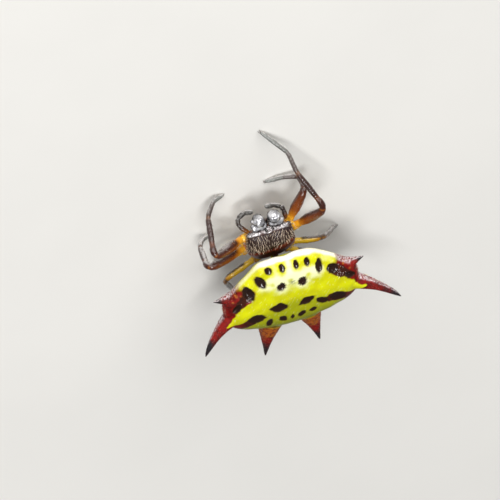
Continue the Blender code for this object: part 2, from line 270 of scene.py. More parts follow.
# where the skin of a feeler starts inside the head, and its first bend
PALP_ROOTS = {
    "left": [(1.70, -3.70, -2.85), (2.14, -4.14, -3.20)],
    "right": [(-0.92, -3.78, -2.78), (-0.90, -4.36, -3.20)],
}
# place along the feeler in corners, and its radius there
PALP_FORM = [
    (0.0, 0.13),
    (0.7, 0.170),
    (1.0, 0.130),
    (1.2, 0.160),
    (1.9, 0.175),
    (2.1, 0.125),
    (2.4, 0.170),
    (2.9, 0.165),
    (3.1, 0.125),
    (3.3, 0.180),
    (3.7, 0.170),
    (4.0, 0.09),
]

# Hip, knee, end of the shin, end of the long foot piece, and where the foot stands
LEGS = {
    "leg_left_1": [
        (2.48, -3.56, -2.50),
        (4.46, -4.27, -1.14),
        (4.05, -5.50, -3.56),
        (3.32, -5.66, -4.60),
        (2.59, -5.45),
    ],
    "leg_left_2": [
        (2.42, -2.45, -2.75),
        (4.92, -3.04, -1.47),
        (4.84, -2.72, -3.80),
        (4.50, -2.45, -4.55),
        (3.93, -2.15),
    ],
    "leg_left_3": [
        (2.52, -1.78, -3.11),
        (4.06, -1.40, -3.02),
        (3.94, -0.55, -3.90),
        (3.82, 0.10, -4.52),
        (3.68, 0.84),
    ],
    "leg_left_4": [
        (1.82, -0.86, -2.95),
        (3.74, -0.05, -2.78),
        (3.20, 2.00, -3.75),
        (2.90, 3.00, -4.40),
        (2.55, 4.30),
    ],
    "leg_right_1": [
        (-1.20, -4.05, -2.75),
        (-2.44, -6.16, -2.88),
        (-2.48, -5.60, -4.55),
        (-1.50, -5.66, -4.84),
        (-0.38, -5.50),
    ],
    "leg_right_2": [
        (-1.64, -3.60, -2.45),
        (-3.21, -5.46, -1.27),
        (-2.03, -8.06, -2.65),
        (-1.91, -8.69, -3.97),
        (-0.54, -10.14),
    ],
    "leg_right_3": [
        (-1.38, -1.62, -2.80),
        (-2.95, -1.45, -2.55),
        (-3.86, -0.52, -3.72),
        (-4.20, -0.05, -4.40),
        (-4.58, 0.57),
    ],
    "leg_right_4": [
        (-0.95, -0.92, -2.95),
        (-2.62, 0.55, -2.95),
        (-3.00, 2.10, -3.80),
        (-3.05, 3.10, -4.40),
        (-3.05, 4.30),
    ],
}
COXA_SUNK = 1.0
COXA_RADIUS = 0.30
KNEE_CUT = 0.38
KNEE_RISE = 0.07
FOOT_TIP_HEIGHT = 0.15
# place along the leg in corners, and radius there: 1 is the hip, 2 to 3 the knee,
# 3.25 the joint after the knee piece, 4 the end of the shin and 5 the end of the long foot piece
FRONT_LEG_FORM = [
    (0.50, 0.21),
    (0.80, 0.235),
    (0.98, 0.25),
    (1.03, 0.215),
    (1.10, 0.25),
    (1.35, 0.340),
    (1.60, 0.335),
    (1.85, 0.290),
    (2.20, 0.245),
    (2.46, 0.225),
    (2.54, 0.205),
    (2.80, 0.225),
    (3.12, 0.215),
    (3.22, 0.165),
    (3.30, 0.185),
    (3.55, 0.205),
    (3.90, 0.180),
    (3.99, 0.145),
    (4.10, 0.160),
    (4.50, 0.155),
    (4.90, 0.150),
    (5.00, 0.125),
    (5.10, 0.150),
    (5.50, 0.150),
    (5.85, 0.125),
    (6.00, 0.08),
]
BACK_LEG_FORM = [
    (0.50, 0.19),
    (0.80, 0.205),
    (0.98, 0.21),
    (1.03, 0.175),
    (1.12, 0.195),
    (1.40, 0.225),
    (1.70, 0.215),
    (2.20, 0.190),
    (2.46, 0.180),
    (2.54, 0.165),
    (2.80, 0.185),
    (3.12, 0.175),
    (3.22, 0.145),
    (3.30, 0.165),
    (3.55, 0.180),
    (3.90, 0.155),
    (3.99, 0.130),
    (4.10, 0.150),
    (4.90, 0.140),
    (5.00, 0.120),
    (5.10, 0.145),
    (5.50, 0.140),
    (5.85, 0.120),
    (6.00, 0.08),
]

# Directions of the view: right and up in the picture, and from the spider to the camera
VIEW_RIGHT = np.array([-0.94717, 0.10642, 0.30256])
VIEW_UP = np.array([-0.29320, -0.66966, -0.68234])
VIEW_OUT = np.array([0.13, -0.735, 0.66549])
AIM_RIGHT = -2.7625
AIM_UP = 2.795
PICTURE_WIDTH = 32.5
SENSOR_WIDTH = 36.0

UNWRAP = "root_place"
BAKE_MAP = "OFBake"
PATCH = 0.003


# Lines and shapes


def through(spots, place, closed):
    """Places on the round line through the spots, counted in spots."""
    whole = np.floor(place).astype(int)
    if not closed:
        whole = np.minimum(whole, len(spots) - 2)
    t = (place - whole)[:, None]

    def near(step):
        if closed:
            return spots[(whole + step) % len(spots)]
        return spots[np.clip(whole + step, 0, len(spots) - 1)]

    a, b, c, d = near(-1), near(0), near(1), near(2)
    bend = a * 2 - b * 5 + c * 4 - d
    twist = b * 3 - a - c * 3 + d
    return (b * 2 + (c - a) * t + bend * t**2 + twist * t**3) / 2


def closed_line(spots, count):
    """A closed round line through the spots."""
    spots = np.asarray(spots, float)
    return through(spots, np.arange(count) * len(spots) / count, True)


def open_line(spots, count):
    """A round line from the first spot to the last."""
    spots = np.asarray(spots, float)
    return through(spots, np.linspace(0, len(spots) - 1, count), False)


def unit(vectors):
    """The vectors, each made one long."""
    return vectors / np.maximum(np.linalg.norm(vectors, axis=-1, keepdims=True), 1e-9)


def bent_line(corners, reach, step):
    """A line through the corners with rounded bends, and each point's place counted in corners."""
    corners = np.asarray(corners, float)
    line, places = [corners[0]], [0.0]
    for i in range(1, len(corners) - 1):
        here = corners[i]
        back, on = corners[i - 1] - here, corners[i + 1] - here
        far_back, far_on = np.linalg.norm(back), np.linalg.norm(on)
        cut_back, cut_on = min(reach, 0.45 * far_back), min(reach, 0.45 * far_on)
        start, end = here + back / far_back * cut_back, here + on / far_on * cut_on
        for t in np.linspace(0, 1, 9):
            line.append(start * (1 - t) ** 2 + here * 2 * t * (1 - t) + end * t**2)
            places.append(i - cut_back / far_back * (1 - t) + cut_on / far_on * t)
    line, places = np.array(line + [corners[-1]]), np.array(places + [len(corners) - 1.0])
    along = np.concatenate([[0.0], np.cumsum(np.linalg.norm(np.diff(line, axis=0), axis=1))])
    even = np.linspace(0, along[-1], int(along[-1] / step) + 2)
    path = np.stack([np.interp(even, along, line[:, k]) for k in range(3)], axis=1)
    return path, np.interp(even, along, places)


def rings_round(path, radii, sides):
    """Rings round a path, each square to it and turned as little as can be."""
    ways = unit(np.gradient(path, axis=0))
    side = np.cross(ways[0], (0.0, 0.0, 1.0))
    if np.linalg.norm(side) < 0.1:
        side = np.cross(ways[0], (0.0, 1.0, 0.0))
    angles = np.linspace(0, 2 * math.pi, sides, endpoint=False)[:, None]
    rings = []
    for point, way, radius in zip(path, ways, radii):
        side = unit(side - way * side.dot(way))
        other = np.cross(way, side)
        rings.append(point + radius * (side * np.cos(angles) + other * np.sin(angles)))
    return np.array(rings)


def lofted(rings):
    """Points and faces of a closed shape through rings, with a middle point at each end."""
    rings = np.asarray(rings, float)
    count, sides = rings.shape[:2]
    middles = [rings[0].mean(0), rings[-1].mean(0)]
    points = np.concatenate([rings.reshape(-1, 3), middles])
    k = np.arange(sides)
    after = (k + 1) % sides
    faces = []
    for row in range(count - 1):
        low, high = row * sides, (row + 1) * sides
        faces += np.stack([low + k, low + after, high + after, high + k], 1).tolist()
    last = (count - 1) * sides
    faces += np.stack([np.full(sides, count * sides), after, k], 1).tolist()
    faces += np.stack([np.full(sides, count * sides + 1), last + k, last + after], 1).tolist()
    return points, faces


def ball(centre, radii, turn=0.0, finer=4):
    """Points and faces of a closed round body with three radii, leaned about X."""
    shape = bmesh.new()
    bmesh.ops.create_icosphere(shape, subdivisions=finer, radius=1.0)
    place = Matrix.Translation(centre) @ Matrix.Rotation(turn, 4, "X") @ Matrix.Diagonal((*radii, 1.0))
    bmesh.ops.transform(shape, matrix=place, verts=shape.verts)
    points = np.array([vert.co[:] for vert in shape.verts])
    faces = [[vert.index for vert in face.verts] for face in shape.faces]
    shape.free()
    return points, faces


def raw_object(name, shapes):
    """One object of the given shapes, with faces turned outwards."""
    points, faces, start = [], [], 0
    for shape_points, shape_faces in shapes:
        points.append(shape_points)
        faces += [[start + i for i in face] for face in shape_faces]
        start += len(shape_points)
    data = bpy.data.meshes.new(name)
    data.from_pydata(np.concatenate(points).tolist(), [], faces)
    shape = bmesh.new()
    shape.from_mesh(data)
    bmesh.ops.recalc_face_normals(shape, faces=shape.faces)
    shape.to_mesh(data)
    shape.free()
    data.shade_smooth()
    made = bpy.data.objects.new(name, data)
    bpy.context.scene.collection.objects.link(made)
    return made


def baked(made):
    """The object with its modifiers turned into plain mesh."""
    view = bpy.context.evaluated_depsgraph_get()
    whole = bpy.data.meshes.new_from_object(made.evaluated_get(view))
    made.modifiers.clear()
    old = made.data
    made.data = whole
    bpy.data.meshes.remove(old)
    whole.name = made.name
    return made


def one_skin(name, shapes, grain, rounds):
    """Melts closed shapes that cross into one smooth skin."""
    made = raw_object(name, shapes)
    melt = made.modifiers.new("melt", "REMESH")
    melt.mode = "VOXEL"
    melt.voxel_size = grain
    melt.use_smooth_shade = True
    ease = made.modifiers.new("ease", "SMOOTH")
    ease.factor = 0.5
    ease.iterations = rounds
    return baked(made)


def points_of(made):
    """The object's points and their normals."""
    count = len(made.data.vertices)
    points, normals = np.zeros(count * 3), np.zeros(count * 3, np.float32)
    made.data.vertices.foreach_get("co", points)
    made.data.vertex_normals.foreach_get("vector", normals)
    return points.reshape(-1, 3), normals.reshape(-1, 3).astype(float)


def move_points(made, points):
    """Puts new places on the object's points."""
    made.data.vertices.foreach_set("co", np.asarray(points, float).ravel())
    made.data.update()


def paint(made, name, values):
    """Keeps a number or a direction for each point under a name."""
    values = np.asarray(values, float)
    flat = values.ndim == 1
    layer = made.data.attributes.new(name, "FLOAT" if flat else "FLOAT_VECTOR", "POINT")
    layer.data.foreach_set("value" if flat else "vector", values.ravel())


def unwrap(made, spread, below=None):
    """Lays each face's corners flat at its points' places, for the roots of the hairs.

    A face across the seam is kept whole, and one that faces down, where below is given,
    goes to the other half of the map.
    """
    data = made.data
    corners = np.zeros(len(data.loops), int)
    data.loops.foreach_get("vertex_index", corners)
    sizes = np.zeros(len(data.polygons), int)
    data.polygons.foreach_get("loop_total", sizes)
    starts = np.concatenate([[0], np.cumsum(sizes)[:-1]])
    flat = spread[corners]
    low = np.repeat(np.minimum.reduceat(flat[:, 0], starts), sizes)
    high = np.repeat(np.maximum.reduceat(flat[:, 0], starts), sizes)
    if below is None:
        flat[(high - low > 0.5) & (flat[:, 0] < 0.5), 0] += 1.0
        flat[:, 0] = 0.03 + flat[:, 0] * 0.85
    else:
        under = np.repeat(np.minimum.reduceat(below[corners], starts), sizes) < 0
        flat[:, 0] = 0.02 + flat[:, 0] * 0.46 + np.where(under, 0.5, 0.0)
    layer = data.uv_layers.new(name=UNWRAP)
    layer.data.foreach_set("uv", flat.ravel())


def smooth(value, low, high):
    """0 below low, 1 above high, and a soft step between."""
    t = np.clip((value - low) / (high - low), 0.0, 1.0)
    return t * t * (3 - 2 * t)


def waves(points, size, seed, count=7):
    """Soft uneven waves between about -1 and 1, alike in every run."""
    draw = np.random.default_rng(seed)
    total = np.zeros(len(points))
    for way in unit(draw.normal(size=(count, 3))):
        length = size * draw.uniform(0.6, 1.6)
        total += np.sin(points @ way * (2 * math.pi / length) + draw.uniform(0, 2 * math.pi))
    return total / math.sqrt(count)


def settle(made, nodes=(), material=None):
    """Moves a finished piece from millimetres into the frame, gives it its finish and body, and hides the solids it
    stands for.
    """
    points, _ = points_of(made)
    move_points(made, (points + PLATE_PLACE) * MM)
    place_piece(made, nodes, material)
    return made


def place_piece(made, nodes=(), material=None):
    """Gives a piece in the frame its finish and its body."""
    if material is not None:
        made.data.materials.clear()
        made.data.materials.append(material)
    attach(made, "root")
    if nodes:
        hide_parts(*nodes)


# Finishes


class Wire:
    """A socket that Python sums can be written with."""

    def __init__(self, tree, socket):
        self.tree = tree
        self.socket = socket

    def sum(self, operation, first, second):
        return self.tree.node("ShaderNodeMath", {"operation": operation}, {0: first, 1: second})

    def __add__(self, other):
        return self.sum("ADD", self, other)

    __radd__ = __add__

    def __mul__(self, other):
        return self.sum("MULTIPLY", self, other)

    __rmul__ = __mul__

    def __sub__(self, other):
        return self.sum("SUBTRACT", self, other)

    def __rsub__(self, other):
        return self.sum("SUBTRACT", other, self)

    def __truediv__(self, other):
        return self.sum("DIVIDE", self, other)

    def __pow__(self, other):
        return self.sum("POWER", self, other)

    def twin(self, name):
        """Another output of the same node."""
        return Wire(self.tree, self.socket.node.outputs[name])


class Tree:
    """A node tree, whose nodes are added and wired by one method."""

    def __init__(self, tree):
        self.tree = tree

    def node(self, kind, settings=None, sockets=None, out=0):
        made = self.tree.nodes.new(kind)
        for name, value in (settings or {}).items():
            if name == "stops":
                self.set_stops(made.color_ramp, value)
            else:
                setattr(made, name, value)
        for key, value in (sockets or {}).items():
            if isinstance(value, Wire):
                self.tree.links.new(value.socket, made.inputs[key])
            else:
                made.inputs[key].default_value = value
        if not made.outputs:
            return made
        return Wire(self, made.outputs[out])

    def set_stops(self, ramp, stops):
        while len(ramp.elements) < len(stops):
            ramp.elements.new(1.0)
        for element, (place, colour) in zip(ramp.elements, stops):
            element.position = place
            element.color = colour


class Finish(Tree):
    """A material with one glossy or matt shell."""

    def __init__(self, name, **constants):
        self.material = bpy.data.materials.new(name)
        self.material.use_nodes = True
        super().__init__(self.material.node_tree)
        self.tree.nodes.clear()
        self.shell = self.tree.nodes.new("ShaderNodeBsdfPrincipled")
        output = self.tree.nodes.new("ShaderNodeOutputMaterial")
        self.tree.links.new(self.shell.outputs[0], output.inputs["Surface"])
        self.set(**constants)
        self.where = self.node("ShaderNodeTexCoord", out=3)

    def set(self, **sockets):
        """Sets or links the shell's own sockets, named with _ for a space."""
        for name, value in sockets.items():
            socket = self.shell.inputs[name.replace("_", " ")]
            if isinstance(value, Wire):
                self.tree.links.new(value.socket, socket)
            else:
                socket.default_value = value

    def noise(self, scale, detail=3.0, rough=0.55):
        sockets = {"Vector": self.where, "Scale": scale, "Detail": detail, "Roughness": rough}
        return self.node("ShaderNodeTexNoise", None, sockets)

    def cells(self, scale):
        sockets = {"Vector": self.where, "Scale": scale}
        return self.node("ShaderNodeTexVoronoi", None, sockets)

    def streaks(self, turn, across, along):
        """A noise drawn out into short strokes that lean by turn from X to Y."""
        size = (1 / along, 1 / across, 1 / across)
        sockets = {"Vector": self.where, "Rotation": (0.0, 0.0, turn), "Scale": size}
        laid = self.node("ShaderNodeMapping", {"vector_type": "TEXTURE"}, sockets)
        return self.node("ShaderNodeTexNoise", None, {"Vector": laid, "Scale": 1.0, "Detail": 2.0})

    def step(self, value, low, high):
        """A soft step from 0 at low to 1 at high."""
        settings = {"interpolation_type": "SMOOTHSTEP"}
        return self.node("ShaderNodeMapRange", settings, {0: value, 1: low, 2: high})

    def mix(self, amount, first, second):
        """The first colour, or the second where the amount is 1."""
        return self.node("ShaderNodeMix", {"data_type": "RGBA"}, {0: amount, 6: first, 7: second}, 2)

    def kept(self, name):
        """What paint() kept on the piece under a name."""
        return self.node("ShaderNodeAttribute", {"attribute_name": name}, None, "Fac")

    def ramp(self, value, stops):
        return self.node("ShaderNodeValToRGB", {"stops": stops}, {0: value})

    def bump(self, height, distance, strength=1.0):
        """Feeds a height in the shell's normal, with its distance in metres."""
        sockets = {"Height": height, "Distance": distance, "Strength": strength}
        self.set(Normal=self.node("ShaderNodeBump", None, sockets))


def plate_finish(looks):
    """Lemon yellow plate with dark sunk spots, crimson shoulders and black-tipped spines, with painted shade behind the
    ridge and at the rear, and painted highlights and glints.
    """
    skin = Finish("plate shell", Coat_Roughness=0.08, Specular_IOR_Level=0.22)
    mottle = skin.noise(1400.0)
    fine = skin.noise(9000.0)
    pit = skin.kept("pit")
    lemon = skin.mix(skin.step(mottle, 0.35, 0.65), looks.lemon, looks.deep_yellow)
    # Painted shade: behind its ridge the plate is painted a darker olive yellow, as it turns away from the light
    olive = skin.mix(skin.step(mottle, 0.35, 0.65), looks.olive, looks.deep_olive)
    colour = skin.mix(skin.kept("olive"), lemon, olive)
    # Painted glints: short pale strokes over the yellow, as fine grain catching the light
    painted_glints = skin.step(skin.streaks(1.0, 11000.0, 3200.0), 0.60, 0.70)
    colour = skin.mix(painted_glints * 0.24, colour, looks.cream)
    # Cream clouds on the front slope and round the middle spots: partly pale colour, partly a painted highlight where
    # the front slope faces the light
    cloud = skin.step(skin.kept("pale") + (skin.noise(3000.0) - 0.5) * 0.5, 0.10, 0.90)
    colour = skin.mix(cloud, colour, looks.cream)
    colour = skin.mix(skin.kept("smudge") * 0.70, colour, looks.smudge)
    # Painted shade: the rear of the plate is darkened further towards dark olive
    colour = skin.mix(skin.kept("rear") * 0.80, colour, looks.rear_shade)
    # Painted highlight: the pale front rim is painted near white where the front light falls
    colour = skin.mix(skin.kept("white"), colour, looks.rim)
    belly = skin.mix(skin.step(skin.cells(900.0), 0.22, 0.34), looks.deep_yellow, looks.belly)
    colour = skin.mix(skin.kept("belly"), colour, belly)
    crimson = skin.mix(skin.step(skin.noise(2600.0), 0.40, 0.66), looks.crimson, looks.maroon)
    crimson = skin.mix(skin.kept("dusk"), crimson, looks.dusk)
    colour = skin.mix(skin.kept("crimson"), colour, crimson)
    amber = skin.mix(skin.step(skin.noise(5200.0), 0.42, 0.60), looks.amber, looks.rust)
    colour = skin.mix(skin.kept("amber"), colour, amber)
    colour = skin.mix(skin.kept("tip"), colour, looks.tip)
    # Painted highlight on the sides of the spines and shoulder rims that face the light, broken by the grain
    colour = skin.mix(skin.kept("frost") * skin.step(fine, 0.38, 0.58), colour, looks.frost)
    colour = skin.mix(skin.kept("pit_rim") * 0.45, colour, looks.rust)
    colour = skin.mix(pit, colour, looks.pit)
    shiny = skin.kept("shiny")
    rough = 0.34 + fine * 0.14 + skin.kept("belly") * 0.15 - shiny * 0.22
    rough = rough + skin.kept("spine") * 0.28
    skin.set(Base_Color=colour, Roughness=rough, Coat_Weight=0.04 + shiny * 0.6)
    skin.bump(skin.cells(15000.0) * 0.6 + fine * 0.8, 0.000010, 0.7)
    return skin.material


def head_finish(looks):
    """Maroon carapace, dark at the front, with amber hips and a front bar painted grey as a painted highlight."""
    skin = Finish("head shell", Coat_Roughness=0.12, Specular_IOR_Level=0.35)
    mottle = skin.noise(2400.0)
    fine = skin.noise(12000.0)
    slope = skin.mix(skin.step(mottle, 0.35, 0.70), looks.slope, looks.crown)
    colour = skin.mix(skin.kept("crown"), slope, looks.crown)
    # Painted highlight: the front bar is painted grey, mottled with dark, where light catches it
    brow = skin.mix(skin.step(skin.noise(2400.0), 0.36, 0.66), (0.08, 0.055, 0.055, 1.0), looks.brow)
    colour = skin.mix(skin.kept("brow"), colour, brow)
    hip = skin.mix(skin.step(mottle, 0.42, 0.66), looks.hip, looks.hip_deep)
    colour = skin.mix(skin.kept("hip"), colour, hip)
    skin.set(Base_Color=colour, Roughness=0.30 + fine * 0.18 - skin.kept("brow") * 0.12, Metallic=skin.kept("brow") * 0.55)
    skin.set(Coat_Weight=0.15 + skin.kept("hip") * 0.25)
    skin.bump(skin.cells(9000.0) * 0.5 + fine, 0.000014, 0.8)
    return skin.material


def jaw_finish():
    """Dark jaws with a broad painted reflection, pale grey, on the upper front."""
    skin = Finish("jaw shell", Metallic=0.55, Coat_Weight=0.4, Coat_Roughness=0.12)
    # Painted reflection: pale greys mottled together
    silver = skin.mix(skin.step(skin.noise(2400.0), 0.35, 0.65), (0.26, 0.26, 0.28, 1), (0.72, 0.72, 0.75, 1))
    skin.set(Base_Color=skin.mix(skin.kept("silver"), (0.035, 0.033, 0.034, 1), silver))
    skin.set(Roughness=0.20 + skin.noise(9000.0) * 0.08)
    skin.bump(skin.noise(6500.0, 2.0), 0.000010, 0.35)
    return skin.material


def leg_finish(name, stops, under_colour):
    """Colours that follow each joint of a leg, with a side stripe of another colour and a pale painted highlight on the
    side that faces the light.
    """
    skin = Finish(name, Coat_Weight=0.5, Coat_Roughness=0.07, Specular_IOR_Level=0.35)
    mottle = skin.noise(2600.0)
    fine = skin.noise(11000.0)
    along = skin.kept("place") / 6.0 + (mottle - 0.5) * 0.012
    colour = skin.ramp(along, stops)
    colour = skin.mix(skin.kept("stripe") * skin.step(mottle, 0.15, 0.45), colour, under_colour)
    dusk = skin.step(fine, 0.50, 0.75) * 0.35
    colour = skin.mix(dusk, colour, (0.03, 0.012, 0.006, 1.0))
    # Painted highlight: pale grey where the side that faces the light is kept as lit
    colour = skin.mix(skin.kept("lit") * skin.step(mottle + fine * 0.3, 0.50, 0.72), colour, (0.62, 0.60, 0.60, 1.0))
    skin.set(Base_Color=colour, Roughness=0.20 + fine * 0.18 + skin.kept("foot") * 0.20)
    skin.bump(skin.cells(13000.0) * 0.5 + fine, 0.000012, 0.8)
    return skin.material


def hair_finish(name, root, tip):
    """Hairs that fade from a dark root to a pale tip."""
    hair = Finish(name, Roughness=0.45, Specular_IOR_Level=0.4)
    spread = hair.step(hair.noise(5000.0), 0.3, 0.7) * 0.3
    fade = hair.step(hair.kept("along") + spread, 0.05, 0.45)
    hair.set(Base_Color=hair.mix(fade, root, tip))
    return hair.material


def plain_finish(name, first, second, scale, roughness, depth, coat=0.0):
    """Two close colours clouded together over a fine grain."""
    skin = Finish(name, Coat_Weight=coat, Coat_Roughness=0.05)
    cloud = skin.step(skin.noise(scale), 0.35, 0.65)
    skin.set(Base_Color=skin.mix(cloud, first, second), Roughness=roughness + cloud * 0.08)
    skin.bump(skin.noise(scale * 5), depth, 0.6)
    return skin.material


# Hairs


def hair_tree():
    """Geometry nodes that set bent, tapered hairs on a skin along its lie."""
    group = bpy.data.node_groups.get("short hairs")
    if group:
        return group
    group = bpy.data.node_groups.new("short hairs", "GeometryNodeTree")
    sockets = [
        ("Skin", "NodeSocketGeometry"),
        ("Hairs per square metre", "NodeSocketFloat"),
        ("Least spacing", "NodeSocketFloat"),
        ("Where", "NodeSocketString"),
        ("Length", "NodeSocketFloat"),
        ("Thickness", "NodeSocketFloat"),
        ("Rise", "NodeSocketFloat"),
        ("Stray", "NodeSocketFloat"),
        ("Curl", "NodeSocketFloat"),
        ("Seed", "NodeSocketInt"),
        ("Finish", "NodeSocketMaterial"),
    ]
    for name, kind in sockets:
        group.interface.new_socket(name, in_out="INPUT", socket_type=kind)
    group.interface.new_socket("Hairs", in_out="OUTPUT", socket_type="NodeSocketGeometry")
    tree = Tree(group)
    given = tree.node("NodeGroupInput")

    def vector(operation, first, second=None, scale=None, out=0):
        wires = {0: first}
        if second is not None:
            wires[1] = second
        if scale is not None:
            wires["Scale"] = scale
        return tree.node("ShaderNodeVectorMath", {"operation": operation}, wires, out)

    def kept(name, kind):
        return tree.node("GeometryNodeInputNamedAttribute", {"data_type": kind}, {"Name": name})

    def store(geometry, name, value, kind, domain):
        settings = {"data_type": kind, "domain": domain}
        wires = {"Geometry": geometry, "Name": name, "Value": value}
        return tree.node("GeometryNodeStoreNamedAttribute", settings, wires)

    def chance(kind, low, high, seed):
        numbers = (0, 1) if kind == "FLOAT_VECTOR" else (2, 3)
        wires = {numbers[0]: low, numbers[1]: high, "Seed": seed}
        out = 0 if kind == "FLOAT_VECTOR" else 1
        return tree.node("FunctionNodeRandomValue", {"data_type": kind}, wires, out)

    roots = tree.node(
        "GeometryNodeDistributePointsOnFaces",
        {"distribute_method": "POISSON"},
        {
            "Mesh": given,
            "Distance Min": given.twin("Least spacing"),
            "Density Max": given.twin("Hairs per square metre"),
            "Density Factor": kept(given.twin("Where"), "FLOAT"),
            "Seed": given.twin("Seed"),
        },
    )
    lie = kept("lie", "FLOAT_VECTOR")
    stray = vector("SCALE", chance("FLOAT_VECTOR", (-1, -1, -1), (1, 1, 1), 11), scale=given.twin("Stray"))
    way = vector("NORMALIZE", vector("ADD", lie, stray))
    lift = vector("SCALE", roots.twin("Normal"), scale=given.twin("Rise"))
    start = vector("NORMALIZE", vector("ADD", way, lift))
    turn = tree.node(
        "FunctionNodeAxesToRotation",
        {"primary_axis": "Z", "secondary_axis": "X"},
        {"Primary Axis": start, "Secondary Axis": way},
    )

    bow = tree.node("ShaderNodeCombineXYZ", None, {0: given.twin("Curl"), 2: 0.92})
    middle = tree.node("ShaderNodeCombineXYZ", None, {0: given.twin("Curl") * 0.12, 2: 0.55})
    line = tree.node(
        "GeometryNodeCurveQuadraticBezier",
        None,
        {"Resolution": 4, "Start": (0.0, 0.0, 0.0), "Middle": middle, "End": bow},
    )
    line = store(line, "along", tree.node("GeometryNodeSplineParameter"), "FLOAT", "POINT")
    ring = tree.node("GeometryNodeCurvePrimitiveCircle", None, {0: 3, "Radius": given.twin("Thickness")})
    ring = store(ring, "around", tree.node("GeometryNodeSplineParameter"), "FLOAT", "POINT")
    taper = 1.0 - kept("along", "FLOAT") ** 1.7 * 0.88
    hair = tree.node(
        "GeometryNodeCurveToMesh",
        None,
        {"Curve": line, "Profile Curve": ring, "Scale": taper, "Fill Caps": True},
    )
    hair = tree.node("GeometryNodeSetShadeSmooth", None, {"Geometry": hair})

    size = chance("FLOAT", 0.65, 1.15, 23) * kept("reach", "FLOAT") * given.twin("Length")
    sown = tree.node(
        "GeometryNodeInstanceOnPoints",
        None,
        {"Points": roots, "Instance": hair, "Rotation": turn, "Scale": size},
    )
    coat = tree.node("GeometryNodeRealizeInstances", None, {"Geometry": sown})
    patch = tree.node("ShaderNodeCombineXYZ", None, {0: kept("along", "FLOAT"), 1: kept("around", "FLOAT")})
    spot = vector("ADD", kept(UNWRAP, "FLOAT_VECTOR"), vector("SCALE", patch, scale=PATCH))
    coat = store(coat, BAKE_MAP, spot, "FLOAT2", "CORNER")
    coat = tree.node("GeometryNodeSetMaterial", None, {"Geometry": coat, "Material": given.twin("Finish")})
    tree.node("NodeGroupOutput", None, {0: coat})
    return group


def grow(skin_name, name, slot, material, **sizes):
    """A coat of hairs as one mesh over a settled skin. Lengths are in millimetres."""
    skin = bpy.data.objects[skin_name]
    coat = bpy.data.objects.new(name, skin.data.copy())
    bpy.context.scene.collection.objects.link(coat)
    group = hair_tree()
    values = {
        "Hairs per square metre": sizes["number"] / MM**2,
        "Least spacing": sizes.get("spacing", 0.0) * MM,
        "Where": sizes.get("where", "cover"),
        "Length": sizes["length"] * MM,
        "Thickness": sizes["thick"] / sizes["length"],
        "Rise": sizes.get("rise", 0.35),
        "Stray": sizes.get("stray", 0.2),
        "Curl": sizes.get("curl", 0.3),
        "Seed": sizes.get("seed", 1),
        "Finish": material,
    }
    growth = coat.modifiers.new("growth", "NODES")
    growth.node_group = group
    for item in group.interface.items_tree:
        if item.in_out == "INPUT" and item.name in values:
            growth[item.identifier] = values[item.name]
    baked(coat)
    for layer in [layer.name for layer in coat.data.attributes]:
        if layer in ("lie", "reach", "cover", "fringe", "around", UNWRAP):
            coat.data.attributes.remove(coat.data.attributes[layer])
    points, _ = points_of(coat)
    points[:, 2] = np.maximum(points[:, 2], 0.0)
    move_points(coat, points)
    place_piece(coat)
    return coat


# Abdomen


def spine_axis(name, count):
    """Points, radii and shares along the middle of a spine."""
    root, tip, radius, bow, profile, _, _ = SPINES[name]
    root, tip = np.array(root), np.array(tip)
    outward = unit(np.array([math.copysign(1.0, root[0]), -0.6, 0.0]))
    middle = (root + tip) / 2 + outward * bow
    t = np.linspace(0, 1, count)[:, None]
    points = root * (1 - t) ** 2 + middle * 2 * t * (1 - t) + tip * t**2
    t = t[:, 0]
    return points, radius * np.interp(t, *zip(*SPINE_PROFILES[profile])), t


def plate_share(points):
    """How far out each point lies from the plate's middle, 1 at its outline."""
    right = [(-x, y) for x, y in reversed(PLATE_OUTLINE[1:-1])]
    outline = closed_line(PLATE_OUTLINE + right, 360)
    angle = np.arctan2(outline[:, 1], outline[:, 0])
    order = np.argsort(angle)
    reach = np.hypot(outline[:, 0], outline[:, 1])[order]
    here = np.arctan2(points[:, 1], points[:, 0])
    return np.hypot(points[:, 0], points[:, 1]) / np.interp(here, angle[order], reach, period=2 * math.pi)


def pit_marks(points):
    """How far each point is inside a sunk spot, how deep it is sunk there, and if it is on a rim."""
    inside, sunk, rim = np.zeros(len(points)), np.zeros(len(points)), np.zeros(len(points))
    wave = waves(points, 0.40, 5)
    for number, (x, y, long, short, turn, power) in enumerate(PITS):
        angle = math.radians(turn)
        dx, dy = points[:, 0] - x, points[:, 1] - y
        u = np.abs(dx * math.cos(angle) + dy * math.sin(angle)) / long
        v = np.abs(dy * math.cos(angle) - dx * math.sin(angle)) / short
        out = (u**power + v**power) ** (1 / power) + 0.05 * wave
        if number in BRISTLY_PITS:
            out += 0.10 * np.sin(11 * np.arctan2(dy, dx) + 3 * wave)
        bowl = np.clip(1 - out**2, 0, 1) ** 0.8 * math.sqrt(long * short)
        deep = 1.0 if number < DEEP_PITS else 0.35
        inside = np.maximum(inside, 1 - smooth(out, 0.88, 1.04))
        sunk = np.maximum(sunk, bowl * deep)
        rim = np.maximum(rim, np.exp(-(((out - 1.02) / 0.10) ** 2)) * (0.4 + 0.6 * deep))
    return inside, sunk, rim * (1 - inside)


